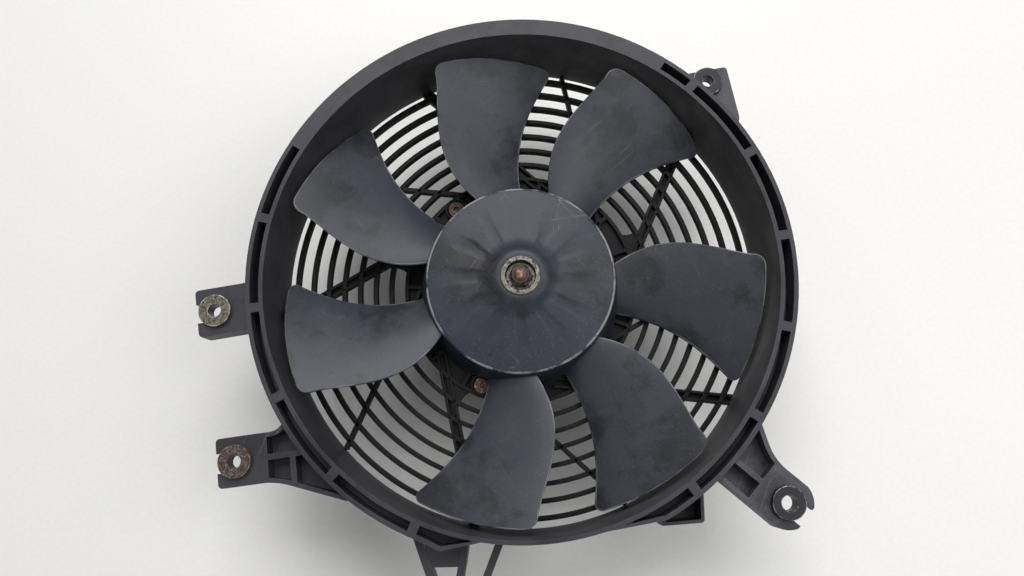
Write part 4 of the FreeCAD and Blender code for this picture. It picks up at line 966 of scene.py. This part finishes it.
def screw_boss(sizes, low, high):
    """One boss on the mount, with the recess for its screw."""
    floor = low + sizes.floor
    return turned_form([
        (sizes.shank_hole, low, 0.3 * MM), (sizes.boss, low, sizes.edge),
        (sizes.boss, high, sizes.edge), (sizes.head_hole, high, 0.5 * MM),
        (sizes.head_hole, floor, 0.3 * MM), (sizes.shank_hole, floor, 0.3 * MM)],
        steps=40, middle=(sizes.fixing_radius, 0.0))


# The stage


def lay_floor(stage):
    """The plain floor, whose far parts fade into the background."""
    half = stage.floor_size / 2
    level = CAD_BOX[0].z - stage.gap
    form = bmesh.new()
    form.faces.new([form.verts.new((x, y, level))
                    for x, y in box_outline(-half, -half, half, half)])
    floor = linked("floor", mesh_from(form, "floor"))
    finish = Finish("Pale floor", 0.45)
    speckle = finish.ramp(finish.noise(350.0, 3.0), 0.35, 0.7)
    tone = finish.blend(speckle, stage.floor, scaled(stage.floor, 1.03))
    away = finish.ramp(finish.measure("LENGTH", finish.place), *stage.fade)
    faded = finish.times(background_rays(finish), away)
    finish.set("Base Color", finish.blend(faded, tone, (0.0, 0.0, 0.0)))
    finish.set("Emission Color", stage.floor)
    finish.set("Emission Strength", finish.times(faded, stage.backdrop))
    floor.data.materials.append(finish.material)


def light_scene(stage):
    """Even light all round, a pale background for what looks past the part, and two lamps."""
    world = bpy.data.worlds.new("Even light")
    world.use_nodes = True
    background = world.node_tree.nodes["Background"].inputs
    wiring = Wiring(world.node_tree)
    upward = wiring.measure("DOT_PRODUCT", wiring.add("ShaderNodeTexCoord").outputs["Generated"],
                            (0.0, 0.0, 1.0))
    seen = background_rays(wiring)
    light = wiring.blend(wiring.ramp(upward, 0.05, 0.75), stage.low_sky, stage.high_sky)
    wiring.feed(background["Color"], wiring.blend(seen, light, stage.floor))
    wiring.feed(background["Strength"],
                wiring.times(seen, stage.backdrop - stage.sky, stage.sky))
    bpy.context.scene.world = world

    for name, power, size, place in (
            ("key", stage.key, stage.key_size, Vector(stage.key_place)),
            ("fill", stage.fill, stage.fill_size, Vector(stage.fill_place))):
        lamp = bpy.data.lights.new(name, "AREA")
        lamp.energy = power
        lamp.size = size
        holder = linked(name, lamp)
        holder.location = place
        holder.rotation_euler = (-place).to_track_quat("-Z", "Y").to_euler()


def set_camera(stage):
    """The camera of the photo."""
    rotation = Matrix.Rotation(stage.swing, 3, "Y") @ Matrix.Rotation(stage.tilt, 3, "X")
    back = rotation.transposed()
    camera = bpy.data.cameras.new("photo view")
    camera.lens = stage.lens
    camera.sensor_width = 36.0
    camera.clip_start = 0.01
    holder = linked("photo view", camera)
    holder.matrix_world = Matrix.Translation(back @ -Vector(stage.reach)) @ back.to_4x4()
    bpy.context.scene.camera = holder
    bpy.context.scene.view_settings.view_transform = "Standard"


# Operators


class FAN_OT_finishes(bpy.types.Operator):
    """Build the shared effects and every finish"""
    bl_idname = "radiator_fan.finishes"
    bl_label = "Finishes"

    def execute(self, context):
        for build in (build_dust_group, build_wear_group, build_scratch_group,
                      build_grain_group, build_rust_group, build_streak_group):
            build()
        for name, settings in PLASTICS.items():
            build_plastic(name, context.scene.fan_colours, **settings)
        for name, settings in STEELS.items():
            build_steel(name, context.scene.fan_colours, *settings)
        for name, settings in PLAIN_FINISHES.items():
            build_plain(name, *settings)
        return {"FINISHED"}


class FAN_OT_trees(bpy.types.Operator):
    """Build the geometry trees for what repeats"""
    bl_idname = "radiator_fan.trees"
    bl_label = "Repeating Trees"

    def execute(self, context):
        build_round_row_tree()
        build_blade_row_tree(len(context.scene.fan_blades.axes))
        build_ring_row_tree()
        return {"FINISHED"}


class FAN_OT_fan(bpy.types.Operator):
    """Build the hub, its ribs and the seven blades"""
    bl_idname = "radiator_fan.fan"
    bl_label = "Fan"

    def execute(self, context):
        blade = context.scene.fan_blades
        hub = context.scene.fan_hub
        turns_of_blades = {f"Turn {n + 1}": turn for n, turn in enumerate(blade.axes)}
        mesh = grown("Blade row", mesh_from(build_blade_form(blade)), "Blade plastic",
                     turns_of_blades)
        give_piece("blades", mesh, ROTOR, "Blade plastic", ("fan",), sharp=60.0)

        shell = turned_form([
            (hub.bore, hub.boss_front, 0.0),
            (hub.boss, hub.boss_front, hub.boss_rounding),
            (hub.foot, hub.face_front, hub.foot_rounding),
            (hub.cap, hub.cap_front, 3.0 * MM),
            (hub.drum, hub.drum_back, 0.6 * MM),
            (hub.drum - hub.wall, hub.drum_back, 0.6 * MM),
            (hub.cap - hub.wall, hub.cap_front - hub.wall, 2.0 * MM),
            (hub.boss, hub.face_front - hub.wall, 1.0 * MM),
            (hub.boss, hub.boss_back, 0.5 * MM),
            (hub.bore, hub.boss_back, 0.0),
        ], steps=128)
        give_piece("hub", mesh_from(shell), ROTOR, "Hub plastic", ("fan",))

        rib = slab_form([
            (hub.boss - hub.wall / 2, hub.face_front - hub.wall / 2),
            (hub.boss - hub.wall / 2, hub.rib_back),
            (hub.drum - 1.5 * hub.wall, hub.rib_back),
            (hub.cap - 1.5 * hub.wall, hub.cap_front - hub.wall / 2),
        ], -hub.rib_width / 2, hub.rib_width / 2, 0.3 * MM)
        mesh = round_the_axis(rotated(rib, math.pi / 2, "X"), hub.ribs, hub.rib_turn,
                              "Blade plastic")
        give_piece("hub_ribs", mesh, ROTOR, "Blade plastic", ("fan",))
        return {"FINISHED"}


class FAN_OT_guard(bpy.types.Operator):
    """Build the rear guard: rings, arms, motor mount and screw bosses"""
    bl_idname = "radiator_fan.guard"
    bl_label = "Rear Guard"

    def execute(self, context):
        sizes = context.scene.fan_guard
        low, high = GUARD_LOW.z, GUARD_HIGH.z
        finish = "Guard plastic"
        rib = slab_form(box_outline(
            sizes.mount_inner + sizes.wall / 2, -sizes.rib / 2,
            sizes.mount_outer - sizes.wall / 2, sizes.rib / 2), low, high, 0.3 * MM)
        for name, mesh in (
                ("guard_rings", grown("Concentric rings", bpy.data.meshes.new("empty"), finish, {
                    "Rings": sizes.rings, "First radius": sizes.first + sizes.pitch,
                    "Pitch": sizes.pitch, "Bar width": sizes.bar, "Bar height": high - low,
                    "Rounding": sizes.edge, "Middle height": (low + high) / 2})),
                ("guard_arms", round_the_axis(guard_arms(sizes, low, high), sizes.pairs,
                                              sizes.arm_turn, finish)),
                ("motor_mount", mesh_from(motor_mount(sizes, low, high))),
                ("mount_ribs", round_the_axis(rib, sizes.ribs, 0.0, finish)),
                ("mount_bosses", round_the_axis(screw_boss(sizes, low, high), sizes.fixings,
                                                sizes.fixing_turn, finish))):
            give_piece(name, mesh, SHROUD, finish, ("rear_guard",))
        return {"FINISHED"}


class FAN_OT_moulding(bpy.types.Operator):
    """Round the edges of the ring, lugs, bracket and connector holder"""
    bl_idname = "radiator_fan.moulding"
    bl_label = "Shroud Moulding"

    def execute(self, context):
        for node, width, finish in (("shroud_ring", 0.7, "Shroud plastic"),
                                    ("lug_upper_left", 0.6, "Shroud plastic"),
                                    ("lug_lower_left", 0.6, "Shroud plastic"),
                                    # The right lugs take the copy painted lighter: painted light
                                    ("lug_lower_right", 0.6, "Right lug plastic"),
                                    ("lug_upper_right", 0.6, "Right lug plastic"),
                                    ("bottom_bracket", 0.6, "Shroud plastic"),
                                    ("connector_holder", 0.5, "Shroud plastic")):
            mesh = rounded_copy(node, width * MM)
            if node == "shroud_ring":
                # More dust on the throat, heaviest on its lit side: partly painted light
                mark_dust_and_painted_light(mesh)
            give_piece(node + "_moulded", mesh, SHROUD, finish, (node,))
        corners = ((-57.0, -153.0), (-53.6, -173.0), (-34.6, -172.5), (-33.0, -157.0))
        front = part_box("bottom_bracket")[1].z - 0.4 * MM
        web = slab_form([scaled(corner, MM) for corner in corners], front - 2.5 * MM, front,
                        0.3 * MM)
        give_piece("bracket_web", mesh_from(web), SHROUD, "Shroud plastic")
        return {"FINISHED"}


class FAN_OT_bushes(bpy.types.Operator):
    """Turn the five spool bushes"""
    bl_idname = "radiator_fan.bushes"
    bl_label = "Spool Bushes"

    def execute(self, context):
        sizes = context.scene.fan_bushes
        edge, mouth = sizes.edge, sizes.mouth
        for node, finish, slot, bore in (
                ("bush_upper_left", "Zinc plate", "zinc_steel", sizes.bore),
                ("bush_lower_left", "Rusty steel", "rusty_steel", sizes.bore),
                ("bush_lower_right", "Black steel", "black_steel", sizes.wide_bore),
                ("bush_upper_right", "Black steel", "black_steel", sizes.bore),
                ("bush_bottom", "Zinc plate", "zinc_steel", sizes.bore)):
            low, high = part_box(node)
            upper = high.z - sizes.flange_height
            lower = low.z + sizes.flange_height
            form = turned_form([
                (bore, low.z, mouth), (bore, high.z, mouth), (sizes.flange, high.z, edge),
                (sizes.flange, upper, edge), (sizes.barrel, upper, 0.0),
                (sizes.barrel, lower, 0.0), (sizes.flange, lower, edge),
                (sizes.flange, low.z, edge)], steps=64, middle=(low + high) / 2)
            give_piece(node + "_turned", mesh_from(form), SHROUD, finish, (node,))
        return {"FINISHED"}


class FAN_OT_drive(bpy.types.Operator):
    """Build the hub insert, lock nut and the threaded shaft"""
    bl_idname = "radiator_fan.drive"
    bl_label = "Drive"

    def execute(self, context):
        sizes = context.scene.fan_drive
        bore, recess, outer = sizes.bore, sizes.recess, INSERT_HIGH.x
        front, back = INSERT_HIGH.z, INSERT_LOW.z
        ledge = front - sizes.recess_depth
        insert = turned_form([
            (bore, ledge, 0.0), (recess, ledge, 0.3 * MM), (recess + 0.4 * MM, front, 0.5 * MM),
            (outer, front, 0.9 * MM), (outer, back, 0.0), (bore, back, 0.0)], steps=96)
        give_piece("hub_insert_turned", mesh_from(insert), ROTOR, "Insert steel",
                   ("hub_insert",))
        give_piece("lock_nut_rounded", rounded_copy("lock_nut", 0.35 * MM), ROTOR,
                   "Nut steel", ("lock_nut",))

        radius, tip, tail = SHAFT_HIGH.x, SHAFT_HIGH.z, SHAFT_LOW.z
        root = radius - sizes.thread_depth
        thread_end = tip - sizes.thread
        shaft = turned_form([
            (0.0, tail, 0.0), (radius, tail, 0.5 * MM), (radius, thread_end, 0.0),
            (root, thread_end + 0.5 * MM, 0.0), (root, tip - 0.6 * MM, 0.0),
            (root - 0.7 * MM, tip, 0.3 * MM), (0.0, tip, 0.0)], steps=64)
        foot, crest = root - 0.1 * MM, radius - 0.05 * MM
        thread = joined([turned_form([
            (foot, height - 0.5 * MM, 0.0), (crest, height - 0.1 * MM, 0.0),
            (crest, height + 0.1 * MM, 0.0), (foot, height + 0.5 * MM, 0.0)], steps=48)
            for height in (tip - sizes.first_ridge - sizes.pitch * n
                           for n in range(sizes.ridges))])
        for name, form in (("shaft_turned", shaft), ("shaft_thread", thread)):
            give_piece(name, mesh_from(form), ROTOR, "Shaft steel",
                       ("motor_shaft",))
        return {"FINISHED"}


class FAN_OT_motor(bpy.types.Operator):
    """Dress the motor: can, cover, flange, screws and lead gland"""
    bl_idname = "radiator_fan.motor"
    bl_label = "Motor"

    def execute(self, context):
        for node, width, slot, finish in (
                ("motor_can", 1.2, "motor_paint", "Motor paint"),
                ("motor_front_cover", 0.6, "motor_paint", "Motor paint"),
                ("motor_flange", 0.5, "motor_paint", "Motor paint"),
                ("motor_screws", 0.4, "rusty_steel", "Screw steel"),
                ("lead_gland", 0.5, "gland_rubber", "Gland rubber")):
            give_piece(node + "_dressed", rounded_copy(node, width * MM), SHROUD, finish,
                       (node,))
        return {"FINISHED"}


class FAN_OT_solids(bpy.types.Operator):
    """Give the solids that stay their finishes"""
    bl_idname = "radiator_fan.solids"
    bl_label = "Remaining Solids"

    def execute(self, context):
        for node, finish in (("shaft_spacer", "Shaft steel"),
                             ("front_bearing", "Sintered bronze"),
                             ("rear_bearing", "Sintered bronze"),
                             ("field_magnets", "Ferrite"),
                             ("brush_card", "Insulating board"),
                             ("carbon_brushes", "Carbon"),
                             ("brush_springs", "Spring steel"),
                             ("armature_core", "Laminated steel"),
                             ("armature_windings", "Copper"),
                             ("commutator", "Copper")):
            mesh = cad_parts[node].data
            mesh.materials.clear()
            mesh.materials.append(bpy.data.materials[finish])
        return {"FINISHED"}


class FAN_OT_stage(bpy.types.Operator):
    """Set the floor, the light and the camera"""
    bl_idname = "radiator_fan.stage"
    bl_label = "Stage"

    def execute(self, context):
        for build in (lay_floor, light_scene, set_camera):
            build(context.scene.fan_stage)
        return {"FINISHED"}


class FAN_PT_panel(bpy.types.Panel):
    """Lists the steps that dress the fan"""
    bl_label = "Radiator Fan"
    bl_idname = "FAN_PT_panel"
    bl_space_type = "VIEW_3D"
    bl_region_type = "UI"
    bl_category = "Radiator Fan"

    def draw(self, context):
        for operator in OPERATORS:
            self.layout.operator(operator.bl_idname)


GROUPS = {
    "fan_blades": BladeSizes,
    "fan_hub": HubSizes,
    "fan_guard": GuardSizes,
    "fan_bushes": BushSizes,
    "fan_drive": DriveSizes,
    "fan_colours": FinishColours,
    "fan_stage": StageSettings,
}
OPERATORS = (FAN_OT_finishes, FAN_OT_trees, FAN_OT_fan, FAN_OT_guard, FAN_OT_moulding,
             FAN_OT_bushes, FAN_OT_drive, FAN_OT_motor, FAN_OT_solids, FAN_OT_stage)


def register():
    for kind in (*GROUPS.values(), *OPERATORS, FAN_PT_panel):
        bpy.utils.register_class(kind)
    for name, kind in GROUPS.items():
        setattr(bpy.types.Scene, name, PointerProperty(type=kind))


def unregister():
    for name in GROUPS:
        delattr(bpy.types.Scene, name)
    for kind in reversed((*GROUPS.values(), *OPERATORS, FAN_PT_panel)):
        bpy.utils.unregister_class(kind)


def main():
    register()
    for operator in OPERATORS:
        family, name = operator.bl_idname.split(".")
        getattr(getattr(bpy.ops, family), name)()


if __name__ == "__main__":
    main()
